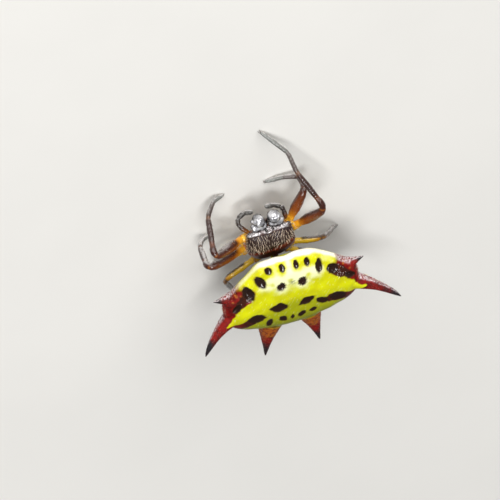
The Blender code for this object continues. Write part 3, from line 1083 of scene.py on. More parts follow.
def depth_inside(points, corners):
    """How far each point lies inside a round closed outline, and less than 0 outside it."""
    line = closed_line(corners, 12 * len(corners))
    nearest = np.full(len(points), 9.0)
    crossings = np.zeros(len(points), int)
    x, y = points[:, 0], points[:, 1]
    for (ax, ay), (bx, by) in zip(line, np.roll(line, -1, axis=0)):
        along = ((x - ax) * (bx - ax) + (y - ay) * (by - ay)) / ((bx - ax) ** 2 + (by - ay) ** 2)
        along = np.clip(along, 0, 1)
        nearest = np.minimum(nearest, np.hypot(x - ax - along * (bx - ax), y - ay - along * (by - ay)))
        crossings += ((ay > y) != (by > y)) & (x < ax + (y - ay) * (bx - ax) / (by - ay + 1e-12))
    return np.where(crossings % 2 == 1, nearest, -nearest)


def depth_in_band(points, spots):
    """How far each point lies inside a band of changing width, and less than 0 outside it."""
    best = np.full(len(points), -9.0)
    x, y = points[:, 0], points[:, 1]
    for (ax, ay, a_half), (bx, by, b_half) in zip(spots, spots[1:]):
        along = ((x - ax) * (bx - ax) + (y - ay) * (by - ay)) / ((bx - ax) ** 2 + (by - ay) ** 2)
        along = np.clip(along, 0, 1)
        off = np.hypot(x - ax - along * (bx - ax), y - ay - along * (by - ay))
        best = np.maximum(best, a_half + (b_half - a_half) * along - off)
    return best


def spine_marks(points):
    """For each point on a spine: how surely it is on it, its share, way to the tip, and colours."""
    best = np.full(len(points), 9.0)
    share, way = np.zeros(len(points)), np.tile((0.0, 1.0, 0.0), (len(points), 1))
    red, black, amber, length, angle = [np.zeros(len(points)) for _ in range(5)]
    for name, (_, _, _, _, _, red_from, black_from) in SPINES.items():
        axis, radii, t = spine_axis(name, 60)
        ways = unit(np.gradient(axis, axis=0))
        near = np.linalg.norm(points[:, None, :] - axis[None], axis=2) / (radii + 0.04)
        k = np.argmin(near, axis=1)
        off = near[np.arange(len(points)), k]
        closer = off < best
        best[closer] = off[closer]
        share[closer] = t[k][closer]
        way[closer] = ways[k][closer]
        offset = points - axis[k]
        across = np.abs(offset @ unit(np.cross(ways[30], (0.0, 0.0, 1.0)))) / (radii[k] + 0.04)
        wave = waves(points, 0.5, 17) * 0.05
        here_red = smooth(t[k] + 0.20 * across * (red_from > 0) + wave, red_from - 0.02, red_from + 0.10)
        here_black = smooth(t[k] + wave, black_from - 0.12, black_from + 0.10)
        rust = 1 - smooth(t[k] + wave, red_from - 0.05, red_from + 0.22)
        red[closer] = here_red[closer]
        black[closer] = here_black[closer]
        amber[closer] = rust[closer] if name.startswith("posterior") else 0.0
        steps = np.linalg.norm(np.diff(axis, axis=0), axis=1).sum()
        length[closer] = (t[k] * steps)[closer]
        angle[closer] = np.arctan2(offset[:, 2], offset @ unit(np.cross(ways[30], (0.0, 0.0, 1.0))))[closer]
    on = (1 - smooth(best, 1.05, 1.25)) * smooth(share, 0.02, 0.10)
    return on, share, way, red, black, amber, length, angle


def abdomen_form():
    """The plate with its cone, the spines and the waist, as closed shapes."""
    right = [(-x, y) for x, y in reversed(PLATE_OUTLINE[1:-1])]
    outline = closed_line(PLATE_OUTLINE + right, 180)
    rings = []
    for share, height, back in open_line(ABDOMEN_RINGS, 80):
        ring = np.column_stack([outline[:, 0] * share, outline[:, 1] * share + back, np.full(180, height)])
        rings.append(ring)
    shapes = [lofted(rings)]
    for name in SPINES:
        axis, radii, _ = spine_axis(name, 34)
        shapes.append(lofted(rings_round(axis, radii, 20)))
    waist = np.linspace(head_place(-0.2, -1.30, -2.80), (0.2, 0.8, -2.60), 12)
    shapes.append(lofted(rings_round(waist, np.full(12, 0.26), 20)))
    return shapes


def abdomen_skin(looks):
    """One skin for plate, cone, spines and waist, with its relief and its marks."""
    skin = one_skin("abdomen_skin", abdomen_form(), 0.048, 4)
    points, normals = points_of(skin)
    x, y, z = points.T
    share = plate_share(points)
    on, along, way, red, black, amber, length, angle = spine_marks(points)
    upper = smooth(normals[:, 2], 0.05, 0.35) * smooth(z, -0.75, -0.45) * (1 - on)
    open_face = smooth(normals[:, 2], -0.25, 0.0) * smooth(z, -0.90, -0.65) * (1 - on)
    laid = points - np.outer(0.9 * np.clip(-z - 0.08, 0, None) * smooth(-y, 1.0, 2.0), (0, 1, 0))
    pit, sunk, rim = [mark * open_face for mark in pit_marks(laid)]
    side = np.abs(x)
    wave = waves(points, 0.5, 7) * 0.035 + waves(points, 0.2, 9) * 0.02
    shoulder = np.maximum(*[depth_inside(points, outline) for outline in SHOULDERS]) + wave
    soft = 0.05 + 0.14 * smooth(-y, 1.0, 1.5)
    corner = smooth(shoulder / soft, -1.0, 1.0)
    band = smooth(np.maximum(*[depth_in_band(points, spots) for spots in BANDS]) + wave, -0.04, 0.04)
    wedge = smooth(np.maximum(*[depth_inside(points, outline) for outline in WEDGES]) + wave * 0.5, -0.04, 0.04)
    wedge *= smooth(z, -1.0, -0.8)
    hollow_depth = np.maximum(*[depth_in_band(points, spots) for spots in HOLLOWS])
    hollows = smooth(hollow_depth + wave, -0.06, 0.06) * open_face

    front = smooth(-y, 0.4, 1.6)
    roll = np.exp(-(((share - 0.97) / 0.07) ** 2)) * front * (1 - on) * smooth(z, -1.0, -0.6)
    trough = np.exp(-(((share - 0.82) / 0.08) ** 2)) * front * upper
    ridge = np.exp(-(((y + 0.45 - 0.30 * side) / 0.35) ** 2)) * upper * smooth(side, 0.6, 2.0)
    lift = -looks.pit_depth * sunk + 0.010 * rim + 0.05 * roll - 0.045 * trough + 0.045 * ridge
    lift -= 0.05 * smooth(shoulder, 0.0, 0.25) * upper
    lift -= 0.10 * smooth(hollow_depth, 0.0, 0.30) * open_face * (1 - pit)
    lift += 0.055 * hollows * np.sin(2 * math.pi * (x * 0.84 - y * 0.53) / 0.20) * np.clip(waves(points, 0.5, 19), 0, 1)
    lift += 0.012 * waves(points, 0.9, 3) * upper
    nose = smooth(share, 0.86, 0.97) * smooth(-y, 1.2, 2.0) * smooth(z, -1.2, -0.9)
    lift += nose * (0.10 * np.exp(-(((x - 1.9) / 0.45) ** 2)) - 0.13 * np.exp(-(((x - 0.05) / 0.45) ** 2)))
    knobs = np.sin(2 * math.pi * length / 0.14) * np.cos(7 * angle + np.floor(length / 0.07) * math.pi)
    upward = smooth(normals @ VIEW_UP, 0.05, 0.50)
    grit = (0.008 + 0.022 * upward) * smooth(along, 0.10, 0.2) * (1 - smooth(along, 0.9, 0.97))
    lift += grit * np.clip(knobs, -0.3, 1.0) * on
    below = smooth(-z, 0.95, 1.25) * (1 - on)
    lift += 0.035 * below * np.sin(2 * math.pi * (z + 0.1 * waves(points, 1.4, 8)) / 0.34)
    move_points(skin, points + normals * lift[:, None])

    hind = smooth(y, 0.7, 1.1)
    edge = smooth(share + wave, 0.93, 0.99) * smooth(side, 3.3, 3.7) * hind
    hem = 0.85 * smooth(share + wave * 0.6, 0.905, 0.935) * smooth(side, 0.9, 1.7) * hind * (1 - on)
    crimson = np.maximum.reduce([corner, edge, on * red, band, hem]) * (1 - smooth(-z, 1.05, 1.3))
    crimson *= 1 - wedge
    grain = 0.50 + 0.50 * np.clip(knobs * 1.5, 0, 1)
    # Painted highlight: the sides of the spines and the shoulder rims that face the light are painted pale, most on the
    # knobs
    frost = smooth(normals @ VIEW_UP, 0.02, 0.40) * np.maximum(on * grain, 0.8 * corner * smooth(share, 0.93, 0.99))
    patches = waves(points, 0.7, 11)
    # Cream on the front slope and round the middle spots, partly pale colour and partly a painted highlight on the
    # slope that faces the light
    cream = np.exp(-(((y + 1.72) / 0.62) ** 2)) * (1 - smooth(np.where(x > 0, x, -x - 0.6), 1.5, 2.9)) * np.clip(0.85 + 0.3 * patches, 0, 1)
    lemon_bands = np.exp(-(((share - 0.87) / 0.06) ** 2)) * front
    gap = np.exp(-(((x + 0.02) / 0.24) ** 2)) + 0.5 * np.exp(-(((x - 0.92) / 0.20) ** 2))
    cream = np.clip(cream * (1 - 0.85 * lemon_bands) + 0.7 * gap * front * smooth(-y, 1.5, 2.2), 0, 1) * upper
    nearer = np.exp(-((x - 0.72) ** 2 + (y + 1.1) ** 2) / 0.35) + np.exp(-((x + 0.71) ** 2 + (y + 1.05) ** 2) / 0.35)
    cream = np.maximum(cream, np.clip(nearer, 0, 1) * 0.8 * upper)
    # The front rim, pale in colour, which is also painted near white as a painted highlight
    narrow = 0.045 * smooth(side, 0.8, 2.0) + 0.015 * smooth(x, 1.0, 2.5)
    lit_front_rim = smooth(-z + 0.05 * patches, 0.12, 0.42) * smooth(share, 0.925 + narrow, 0.99 + narrow * 0.5)
    lit_front_rim *= smooth(-y, 0.6, 1.4) * smooth(z, -1.05, -0.8) * (1 - corner * smooth(side + wave, 3.0, 3.9))
    # Pale paint for the cream and the front rim, partly pale colour and partly painted highlight
    pale = np.maximum(cream, lit_front_rim) * (1 - on)
    smudge = np.exp(-(((x + 0.05) / 0.22) ** 2 + ((y + 1.36) / 0.20) ** 2)) * np.clip(0.6 + waves(points, 0.14, 13), 0, 1)
    smudge *= 1.5
    smudge += 0.5 * np.exp(-(((x - 0.95) / 0.25) ** 2 + ((y + 1.05) / 0.22) ** 2))
    marks = np.zeros(len(points))
    for mark_x, mark_y, size in AMBER_MARKS:
        marks = np.maximum(marks, np.exp(-((x - mark_x) ** 2 + (y - mark_y) ** 2) / size**2))
    paint(skin, "pit", pit)
    paint(skin, "pit_rim", rim * (1 - 0.6 * crimson))
    paint(skin, "crimson", crimson)
    paint(skin, "pale", np.clip(pale, 0, 1))
    # Painted highlight: the near white paint on the front rim
    paint(skin, "white", lit_front_rim * (1 - on))
    paint(skin, "dusk", np.maximum.reduce([band * (1 - smooth(side, 3.2, 4.3)) * (1 - 0.6 * corner), hollows, 0.6 * hem]))
    paint(skin, "shiny", np.maximum(hollows, pit) * (1 - smooth(y, -0.6, 0.0)))
    paint(skin, "frost", frost)
    paint(skin, "spine", on)
    # Painted shade: how far the rear of the plate is darkened
    paint(skin, "rear", smooth(y, 1.3, 2.9) * (1 - on))
    paint(skin, "smudge", smudge * upper)
    # Painted shade: where the plate behind its ridge is painted darker olive
    paint(skin, "olive", smooth(y - 0.30 * side, -0.2, 0.6) * upper)
    paint(skin, "amber", np.maximum(on * amber, smooth(marks, 0.35, 0.75) * corner * (1 - 0.7 * hollows)))
    paint(skin, "tip", on * black)
    paint(skin, "belly", below)

    outward = unit(np.column_stack([x, y, np.zeros(len(x))]))
    back = np.tile((0.0, 1.0, 0.0), (len(x), 1))
    rim_part = smooth(share, 0.90, 1.0)[:, None]
    lie = back * (1 - rim_part) + outward * rim_part
    lie = lie * (1 - on[:, None]) + way * on[:, None]
    paint(skin, "lie", lie)
    rim_hair = smooth(share, 0.94, 1.0) * (1 - below) * (1 - on)
    paint(skin, "cover", on * (0.6 + 0.4 * normals[:, 2]) * smooth(along, 0.12, 0.3))
    paint(skin, "fringe", np.maximum(rim_hair, 0.5 * on * smooth(normals @ VIEW_UP, 0.3, 0.8)))
    paint(skin, "reach", np.maximum(0.55, on * 1.1 - 0.4 * along * on))
    unwrap(skin, np.column_stack([(x + 7.5) / 15.0, (y + 4.0) / 10.0]), normals[:, 2])
    return settle(skin, ["abdomen"], plate_finish(looks))


def spinneret_skin():
    """A ring collar with two large and two small silk cones."""
    top = ABDOMEN_RINGS[-1][1]
    shapes = []
    collar = [(0.05, 0.40), (-0.10, 0.50), (-0.32, 0.52), (-0.46, 0.46), (-0.55, 0.34)]
    heights = np.array([top + height for height, _ in collar])
    path = np.column_stack([np.zeros(5), np.full(5, SPINNERETS_BACK), heights])
    shapes.append(lofted(rings_round(open_line(path, 18), open_line([(r,) for _, r in collar], 18)[:, 0], 28)))
    for x, y, radius, drop in [(0.17, -0.16, 0.18, 0.78), (0.15, 0.20, 0.15, 0.72)]:
        for sign in (1, -1):
            line = np.linspace(
                (sign * x, SPINNERETS_BACK + y, top - 0.3), (sign * x * 0.6, SPINNERETS_BACK + y * 0.8, top - drop), 10
            )
            radii = radius * np.linspace(1.0, 0.45, 10)
            shapes.append(lofted(rings_round(line, radii, 16)))
    skin = one_skin("spinneret_cones", shapes, 0.028, 4)
    points, normals = points_of(skin)
    angle = np.arctan2(points[:, 1] - SPINNERETS_BACK, points[:, 0])
    folds = 0.012 * np.sin(angle * 18) * smooth(top - 0.25 - points[:, 2], -0.3, 0.0)
    move_points(skin, points + normals * folds[:, None])
    finish = plain_finish("silk cones", (0.05, 0.022, 0.014, 1), (0.11, 0.05, 0.028, 1), 5000.0, 0.38, 0.00001, 0.2)
    return settle(skin, ["spinnerets"], finish)


# Head and chest


def head_place(across, along, height):
    """A place measured across from the middle line of the head."""
    return np.array([HEAD_X + across, along, height])


def head_form():
    """The head and chest, the eye mounds, the hips and the mouth, as closed shapes."""
    angles = np.linspace(0, 2 * math.pi, 84, endpoint=False)
    c, s = np.cos(angles), np.sin(angles)
    power = 2 / HEAD_SQUARENESS
    rings = []
    for along, half, top, bottom in open_line(HEAD_STATIONS, 50):
        across = np.sign(c) * np.abs(c) ** power * half
        widest = top + (bottom - top) * HEAD_WIDEST
        reach = np.where(s > 0, top - widest, widest - bottom)
        height = widest + np.sign(s) * np.abs(s) ** power * reach
        rings.append([head_place(a, along, h) for a, h in zip(across, height)])
    shapes = [lofted(rings)]
    for across, size, width in EYE_MOUNDS:
        centre = head_place(across, EYE_MOUND_ALONG, EYE_MOUND_HEIGHT)
        shapes.append(ball(centre, (size * width, size, size * 0.8)))
    for sign in (1, -1):
        shapes.append(ball(head_place(sign * 0.36, -3.95, -3.12), (0.30, 0.42, 0.24), -0.5))
    for hip, knee in [LEGS[name][:2] for name in LEGS]:
        hip, way = np.array(hip), unit(np.array(knee) - np.array(hip))
        line = np.linspace(hip - way * COXA_SUNK, hip - way * 0.16, 14)
        radii = np.interp(np.linspace(0, 1, 14), [0, 0.4, 0.8, 0.92, 1], [0.24, 0.29, 0.31, 0.28, 0.18])
        shapes.append(lofted(rings_round(line, radii, 20)))
    return shapes


def hip_share(points):
    """How surely each point is on one of the eight hips."""
    share = np.zeros(len(points))
    for hip, knee in [LEGS[name][:2] for name in LEGS]:
        hip, way = np.array(hip), unit(np.array(knee) - np.array(hip))
        along = np.clip((points - hip) @ way, -0.85, 0.0)
        off = np.linalg.norm(points - hip - along[:, None] * way, axis=1)
        share = np.maximum(share, 1 - smooth(off, 0.33, 0.44))
    return share


def head_skin(looks):
    """One skin for head, chest and hips, with its grooves and its marks."""
    skin = one_skin("head_skin", head_form(), 0.034, 5)
    points, normals = points_of(skin)
    across, along = points[:, 0] - HEAD_X, points[:, 1]
    hip = hip_share(points)
    top = smooth(normals[:, 2], 0.05, 0.45) * (1 - hip)
    edge = -3.14 + 0.15 * across + 0.08 * np.cos(across * 2.2) + 0.05 * waves(points, 0.5, 21)
    crown = (1 - smooth(along, edge - 0.10, edge + 0.06)) * smooth(along, -4.46, -4.32) * (1 - hip)
    sides = smooth(points[:, 2], -2.55, -1.95)
    crown = crown * np.maximum(top, sides)
    # The front bar, where the finish paints a grey painted highlight
    brow = (1 - smooth(along, -4.45, -4.35)) * smooth(points[:, 2], -2.6, -2.2) * (1 - hip)

    swell = np.exp(-(((np.abs(across) - 0.68) / 0.42) ** 2 + ((along + 3.70) / 0.62) ** 2)) * top
    groove = np.exp(-((across / 0.09) ** 2)) * top * smooth(along, -4.3, -3.9)
    neck = np.exp(-(((along - edge - 0.10) / 0.12) ** 2)) * top
    bar = np.exp(-(((along + 4.44) / 0.09) ** 2)) * smooth(points[:, 2], -2.2, -1.9)
    pores = np.clip(waves(points, 0.13, 31), 0, 1) * crown
    creases = waves(points, 0.17, 33) * brow
    lift = 0.060 * swell - 0.045 * groove - 0.050 * neck + 0.035 * bar - 0.018 * pores + 0.030 * creases
    lift += 0.012 * waves(points, 0.35, 35) * hip
    move_points(skin, points + normals * lift[:, None])

    paint(skin, "crown", crown)
    paint(skin, "brow", brow)
    paint(skin, "hip", hip)
    lean = np.interp(across, [spot for spot, _ in CROWN_LEAN], [turn for _, turn in CROWN_LEAN])
    lean = np.tan(np.radians(lean + 16 * waves(points, 0.6, 41)))
    lie_x = (0.106 - 0.670 * lean) / (0.947 + 0.293 * lean)
    lie = np.column_stack([lie_x, np.ones(len(lie_x)), np.zeros(len(lie_x))])
    side_lie = np.tile((0.0, 0.8, -0.6), (len(lie_x), 1))
    steep = smooth(np.abs(normals[:, 0]), 0.5, 0.8)[:, None]
    lie = lie * (1 - steep) + side_lie * steep
    lie = unit(lie - normals * (lie * normals).sum(1, keepdims=True))
    paint(skin, "lie", lie)
    bare_line = np.exp(-(((across - 0.05) / 0.09) ** 2))
    paint(skin, "cover", crown * (1 - 0.8 * bare_line) * (1 - 0.7 * brow))
    paint(skin, "fringe", hip * 0.8 + 0.25 * (1 - crown) * (1 - top) * (1 - hip))
    paint(skin, "reach", 0.75 + 0.35 * smooth(np.abs(across), 0.2, 1.2))
    angle = np.arctan2(points[:, 2] + 2.5, points[:, 0] - HEAD_X) / (2 * math.pi) + 0.5
    unwrap(skin, np.column_stack([angle, (along + 4.8) / 4.4]))
    return settle(skin, ["cephalothorax"], head_finish(looks))


def eye(name, across, along, height, radius, finish):
    """One round eye sunk in its mound."""
    centre = head_place(across, along, height)
    made = raw_object(name, [ball(centre, (radius,) * 3, finer=3)])
    return settle(made, (), finish)


def jaw_way():
    """The direction from a jaw's lower end to its upper end."""
    return np.array([0.0, -math.sin(JAW_LEAN), math.cos(JAW_LEAN)])


def jaw(side, finish):
    """One swollen jaw, with the knob at its outer base and a dent before its lower end."""
    sign = 1.0 if side == "left" else -1.0
    centre = head_place(sign * JAW_OUT, JAW_CENTRE[0], JAW_CENTRE[1])
    up = jaw_way()
    t = np.linspace(0.0, 1.0, 26)
    line = centre + up * (JAW_SIZE[2] * (1 - 2 * t))[:, None] * 1.03
    form = np.sqrt(np.clip(1 - (2 * t - 1) ** 2, 0.0, 1.0)) ** 0.85 * (1.02 - 0.22 * t**2)
    form -= 0.05 * np.exp(-(((t - 0.62) / 0.10) ** 2))
    line -= np.array([sign * 0.04, 0.0, 0.0])
    rings = rings_round(line, np.maximum(form * (JAW_SIZE[0] + 0.04), 0.02), 36)
    knob = centre + up * 0.42 + np.array([sign * 0.22, -0.12, 0.0])
    base = head_place(sign * (JAW_OUT + (0.0 if side == "left" else 0.04)), -4.66, -2.24)
    shapes = [lofted(rings), ball(knob, (0.17, 0.17, 0.14), JAW_LEAN), ball(base, (0.56, 0.38, 0.36))]
    if side == "left":
        boss = centre + up * 0.10 + np.array([0.36, -0.10, 0.0])
        shapes.append(ball(boss, (0.10, 0.12, 0.16), JAW_LEAN))
    skin = one_skin("jaw_" + side, shapes, 0.03, 5)
    points, normals = points_of(skin)
    bulges = 0.026 * waves(points, 0.46, 51) + 0.004 * waves(points, 0.16, 53)
    move_points(skin, points + normals * bulges[:, None])
    # Painted reflection: where the jaw faces the light, its upper front is painted pale grey
    paint(skin, "silver", smooth(normals @ np.array([0.0, -0.80, 0.60]) + 0.12 * waves(points, 0.3, 57), 0.28, 0.70))
    paint(skin, "lie", np.tile(-up, (len(points), 1)))
    paint(skin, "cover", smooth(normals[:, 1], -0.9, 0.2))
    paint(skin, "reach", np.full(len(points), 1.0))
    angle = np.arctan2(points[:, 1] - centre[1], points[:, 0] - centre[0]) / (2 * math.pi) + 0.5
    unwrap(skin, np.column_stack([angle, ((points - centre) @ up + 0.8) / 1.8]))
    return settle(skin, ["chelicera_" + side], finish)


def fang(side, finish):
    """The curved fang folded in under a jaw."""
    sign = 1.0 if side == "left" else -1.0
    centre = head_place(sign * JAW_OUT, JAW_CENTRE[0], JAW_CENTRE[1])
    base = centre - jaw_way() * 0.56
    spots = [
        base + (sign * 0.06, 0.0, 0.06),
        base + (sign * 0.05, -0.02, -0.12),
        base + (-sign * 0.08, 0.02, -0.24),
        base + (-sign * 0.26, 0.10, -0.27),
    ]
    line = open_line(spots, 16)
    made = raw_object("fang_" + side, [lofted(rings_round(line, 0.085 * np.linspace(1, 0.12, 16), 12))])
    return settle(made, (), finish)


# Feelers and legs


def limb(name, path, place, form, sides):
    """A round limb along a path, with its places and directions kept on its points."""
    radii = np.interp(place, [p for p, _ in form], [r for _, r in form])
    soft = np.convolve(np.pad(radii, 2, mode="edge"), (0.1, 0.2, 0.4, 0.2, 0.1), mode="valid")
    rings = rings_round(path, soft, sides)
    made = raw_object(name, [lofted(rings)])
    ways = unit(np.gradient(path, axis=0))
    lie = np.concatenate([np.repeat(ways, sides, axis=0), ways[:1], ways[-1:]])
    places = np.concatenate([np.repeat(place, sides), place[:1], place[-1:]])
    turn = np.concatenate([np.tile(np.arange(sides) / sides, len(path)), [0.0, 0.0]])
    paint(made, "lie", lie)
    return made, places, turn


def palp(side, finish):
    """One jointed feeler."""
    place = np.linspace(0, 4, 90)
    path = through(np.array([*PALP_ROOTS[side], *PALPS[side][2:]]), place, False)
    skin, places, turn = limb("palp_" + side + "_skin", path, place, PALP_FORM, 24)
    points, normals = points_of(skin)
    move_points(skin, points + normals * (0.008 * waves(points, 0.15, 61))[:, None])
    paint(skin, "place", places * 1.5)
    paint(skin, "stripe", np.zeros(len(points)))
    # Painted highlight on the side of the feeler that faces the light
    paint(skin, "lit", 0.8 * smooth(normals @ VIEW_UP, 0.35, 0.80) * smooth(places, 0.8, 1.4))
    paint(skin, "foot", smooth(places, 3.0, 3.4))
    paint(skin, "cover", smooth(places, 0.8, 1.6))
    paint(skin, "reach", 0.8 + 0.3 * smooth(places, 2.5, 3.5))
    unwrap(skin, np.column_stack([turn, places / 4.2]))
    return settle(skin, ["palp_" + side], finish)


def leg_corners(name):
    """The corners of a leg from inside its hip to the tip of its foot."""
    hip, knee, shin_end, long_end, stand = [np.array(spot) for spot in LEGS[name]]
    foot = np.array([*stand, FOOT_TIP_HEIGHT - PLATE_HEIGHT])
    way_in, way_out = unit(knee - hip), unit(shin_end - knee)
    rise = (way_in - way_out) * KNEE_RISE
    inner = hip - way_in * COXA_SUNK
    return [inner, hip, knee - way_in * KNEE_CUT + rise, knee + way_out * KNEE_CUT + rise, shin_end, long_end, foot]


def leg(name, finish):
    """One leg from hip to foot as one skin, with its joints drawn in."""
    front = name[-1] in "12"
    path, place = bent_line(leg_corners(name), 0.30, 0.045)
    start = np.searchsorted(place, 0.5)
    path, place = path[start:], place[start:]
    skin, places, turn = limb(name + "_skin", path, place, FRONT_LEG_FORM if front else BACK_LEG_FORM, 26)
    points, normals = points_of(skin)
    points += normals * (0.009 * waves(points, 0.16, 71))[:, None]
    points[:, 2] = np.maximum(points[:, 2], -PLATE_HEIGHT)
    move_points(skin, points)
    facing = normals @ VIEW_UP
    thigh = smooth(places, 1.10, 1.25) * (1 - smooth(places, 2.5, 2.6))
    stripe = smooth(facing, -0.35, 0.30) if front else smooth(facing, 0.0, 0.45)
    stripe *= thigh if front else smooth(places, 1.15, 1.3)
    paint(skin, "place", places)
    paint(skin, "stripe", stripe)
    # Painted highlight: how strongly each part of the leg is painted pale on the side that faces the light
    sheen = np.interp(places, [1.2, 1.5, 2.3, 2.6, 3.2, 6.0], [0.0, 0.45, 0.35, 0.70, 0.80, 0.85])
    paint(skin, "lit", smooth(facing, 0.40, 0.80) * sheen * (1.0 if front else 0.6))
    paint(skin, "foot", smooth(places, 4.9, 5.1))
    cover = np.interp(places, [0.9, 1.3, 2.6, 3.3, 4.2, 5.2, 6.0], [0.05, 0.12, 0.15, 0.4, 0.8, 1.0, 0.9])
    paint(skin, "cover", cover)
    fringe = smooth(facing, 0.62, 0.85) * np.interp(places, [1.05, 1.2, 2.3, 2.5, 3.4, 5.0, 6.0], [0, 1, 1, 0.3, 0.5, 0.5, 0.4])
    paint(skin, "fringe", fringe * (1.0 if front else 0.5))
    paint(skin, "reach", np.interp(places, [1.0, 1.5, 2.4, 3.0, 6.0], [0.7, 1.1, 0.9, 0.7, 0.6]))
    unwrap(skin, np.column_stack([turn, places / 6.2]))
    nodes = [name + part for part in ("_femur", "_tibia", "_tarsus")]
    return settle(skin, nodes, finish)


def claws(name, finish):
    """The paired claws at the tip of a foot."""
    corners = leg_corners(name)
    tip = corners[-1]
    way = unit(corners[-1] - corners[-2])
    flat = unit(np.array([way[0], way[1], 0.0]))
    side = np.cross(flat, (0.0, 0.0, 1.0))
    shapes = []
    for sign in (1, -1):
        spots = [
            tip - flat * 0.04 + side * sign * 0.03 + (0, 0, 0.03),
            tip + flat * 0.06 + side * sign * 0.06 + (0, 0, 0.03),
            tip + flat * 0.13 + side * sign * 0.07 - (0, 0, 0.04),
            tip + flat * 0.13 + side * sign * 0.06 - (0, 0, 0.12),
        ]
        line = open_line(spots, 12)
        shapes.append(lofted(rings_round(line, 0.032 * np.linspace(1, 0.2, 12), 8)))
    made = raw_object(name + "_claws", shapes)
    return settle(made, (), finish)


FRONT_STOPS = [
    (0.130, (0.82, 0.42, 0.02, 1)),
    (0.170, (0.70, 0.30, 0.015, 1)),
    (0.200, (0.44, 0.14, 0.008, 1)),
    (0.230, (0.21, 0.050, 0.005, 1)),
    (0.300, (0.13, 0.028, 0.004, 1)),
    (0.395, (0.07, 0.014, 0.004, 1)),
    (0.417, (0.26, 0.08, 0.012, 1)),
    (0.435, (0.045, 0.010, 0.006, 1)),
    (0.515, (0.035, 0.009, 0.006, 1)),
    (0.538, (0.12, 0.036, 0.015, 1)),
    (0.556, (0.030, 0.011, 0.009, 1)),
    (0.650, (0.042, 0.019, 0.016, 1)),
    (0.667, (0.13, 0.06, 0.03, 1)),
    (0.685, (0.052, 0.034, 0.030, 1)),
    (0.815, (0.085, 0.070, 0.064, 1)),
    (0.840, (0.12, 0.12, 0.11, 1)),
    (1.000, (0.20, 0.21, 0.20, 1)),
]
BACK_STOPS = [
    (0.130, (0.82, 0.52, 0.03, 1)),
    (0.180, (0.74, 0.48, 0.03, 1)),
    (0.300, (0.66, 0.40, 0.02, 1)),
    (0.380, (0.48, 0.22, 0.015, 1)),
    (0.412, (0.05, 0.018, 0.010, 1)),
    (0.435, (0.20, 0.09, 0.02, 1)),
    (0.520, (0.15, 0.07, 0.025, 1)),
    (0.538, (0.05, 0.025, 0.014, 1)),
    (0.560, (0.12, 0.085, 0.055, 1)),
    (0.667, (0.08, 0.055, 0.042, 1)),
    (0.700, (0.13, 0.115, 0.10, 1)),
    (0.840, (0.18, 0.18, 0.17, 1)),
    (1.000, (0.22, 0.22, 0.21, 1)),
]
PALP_STOPS = [
    (0.000, (0.40, 0.14, 0.012, 1)),
    (0.110, (0.14, 0.045, 0.010, 1)),
    (0.200, (0.03, 0.018, 0.014, 1)),
    (0.500, (0.03, 0.025, 0.023, 1)),
    (0.780, (0.045, 0.042, 0.040, 1)),
    (1.000, (0.12, 0.12, 0.115, 1)),
]


# The add-on


def colour(name, text, default):
    """A colour that a user can change."""
    return FloatVectorProperty(name=name, description=text, default=default, size=4, subtype="COLOR", min=0, max=1)


class SpiderPlate(bpy.types.PropertyGroup):
    """Sizes and colours of the abdomen."""

    pit_depth: FloatProperty(
        name="Pit depth", description="Depth of a sunk spot as a share of its half width", default=0.45, min=0.0, max=1.0
    )
    lemon: colour("Lemon", "Yellow of the plate", (0.62, 0.64, 0.002, 1.0))
    deep_yellow: colour("Deep yellow", "Darker yellow of the plate", (0.56, 0.55, 0.002, 1.0))
    # Olive and deep olive paint shade on the plate behind its ridge
    olive: colour("Olive", "Yellow of the plate behind its ridge", (0.33, 0.355, 0.002, 1.0))
    deep_olive: colour("Deep olive", "Darker yellow behind the ridge", (0.34, 0.36, 0.002, 1.0))
    # Cream is partly the plate's pale colour and partly a painted highlight on the front slope
    cream: colour("Cream", "Pale middle of the plate", (0.87, 0.90, 0.52, 1.0))
    # Colour of the painted highlight on the spines and shoulder rims
    frost: colour("Frost", "Pale bloom on the front side of the spines", (0.62, 0.54, 0.56, 1.0))
    # The colour of the painted shade at the rear of the plate
    rear_shade: colour("Moss", "Dark olive along the rear edge", (0.13, 0.14, 0.004, 1.0))
    smudge: colour("Smudge", "Grey-green smudge between the middle spots", (0.22, 0.24, 0.12, 1.0))
    # Rim colour: the pale front rim painted near white, partly a painted highlight
    rim: colour("Rim", "White front rim", (0.95, 0.93, 0.80, 1.0))
    crimson: colour("Crimson", "Red of the spines and shoulders", (0.20, 0.004, 0.002, 1.0))
    maroon: colour("Maroon", "Darker red of the spines", (0.075, 0.003, 0.002, 1.0))
    dusk: colour("Dusk", "Dark red of the bands to the long spines", (0.040, 0.008, 0.003, 1.0))
    amber: colour("Amber", "Orange at the roots of the hind spines", (0.34, 0.085, 0.008, 1.0))
    rust: colour("Rust", "Brown round the spots", (0.16, 0.030, 0.008, 1.0))
    tip: colour("Tip", "Black of the spine tips", (0.012, 0.009, 0.011, 1.0))
    pit: colour("Pit", "Dark brown of the sunk spots", (0.018, 0.006, 0.003, 1.0))
    belly: colour("Belly", "Brown under the plate", (0.055, 0.024, 0.012, 1.0))


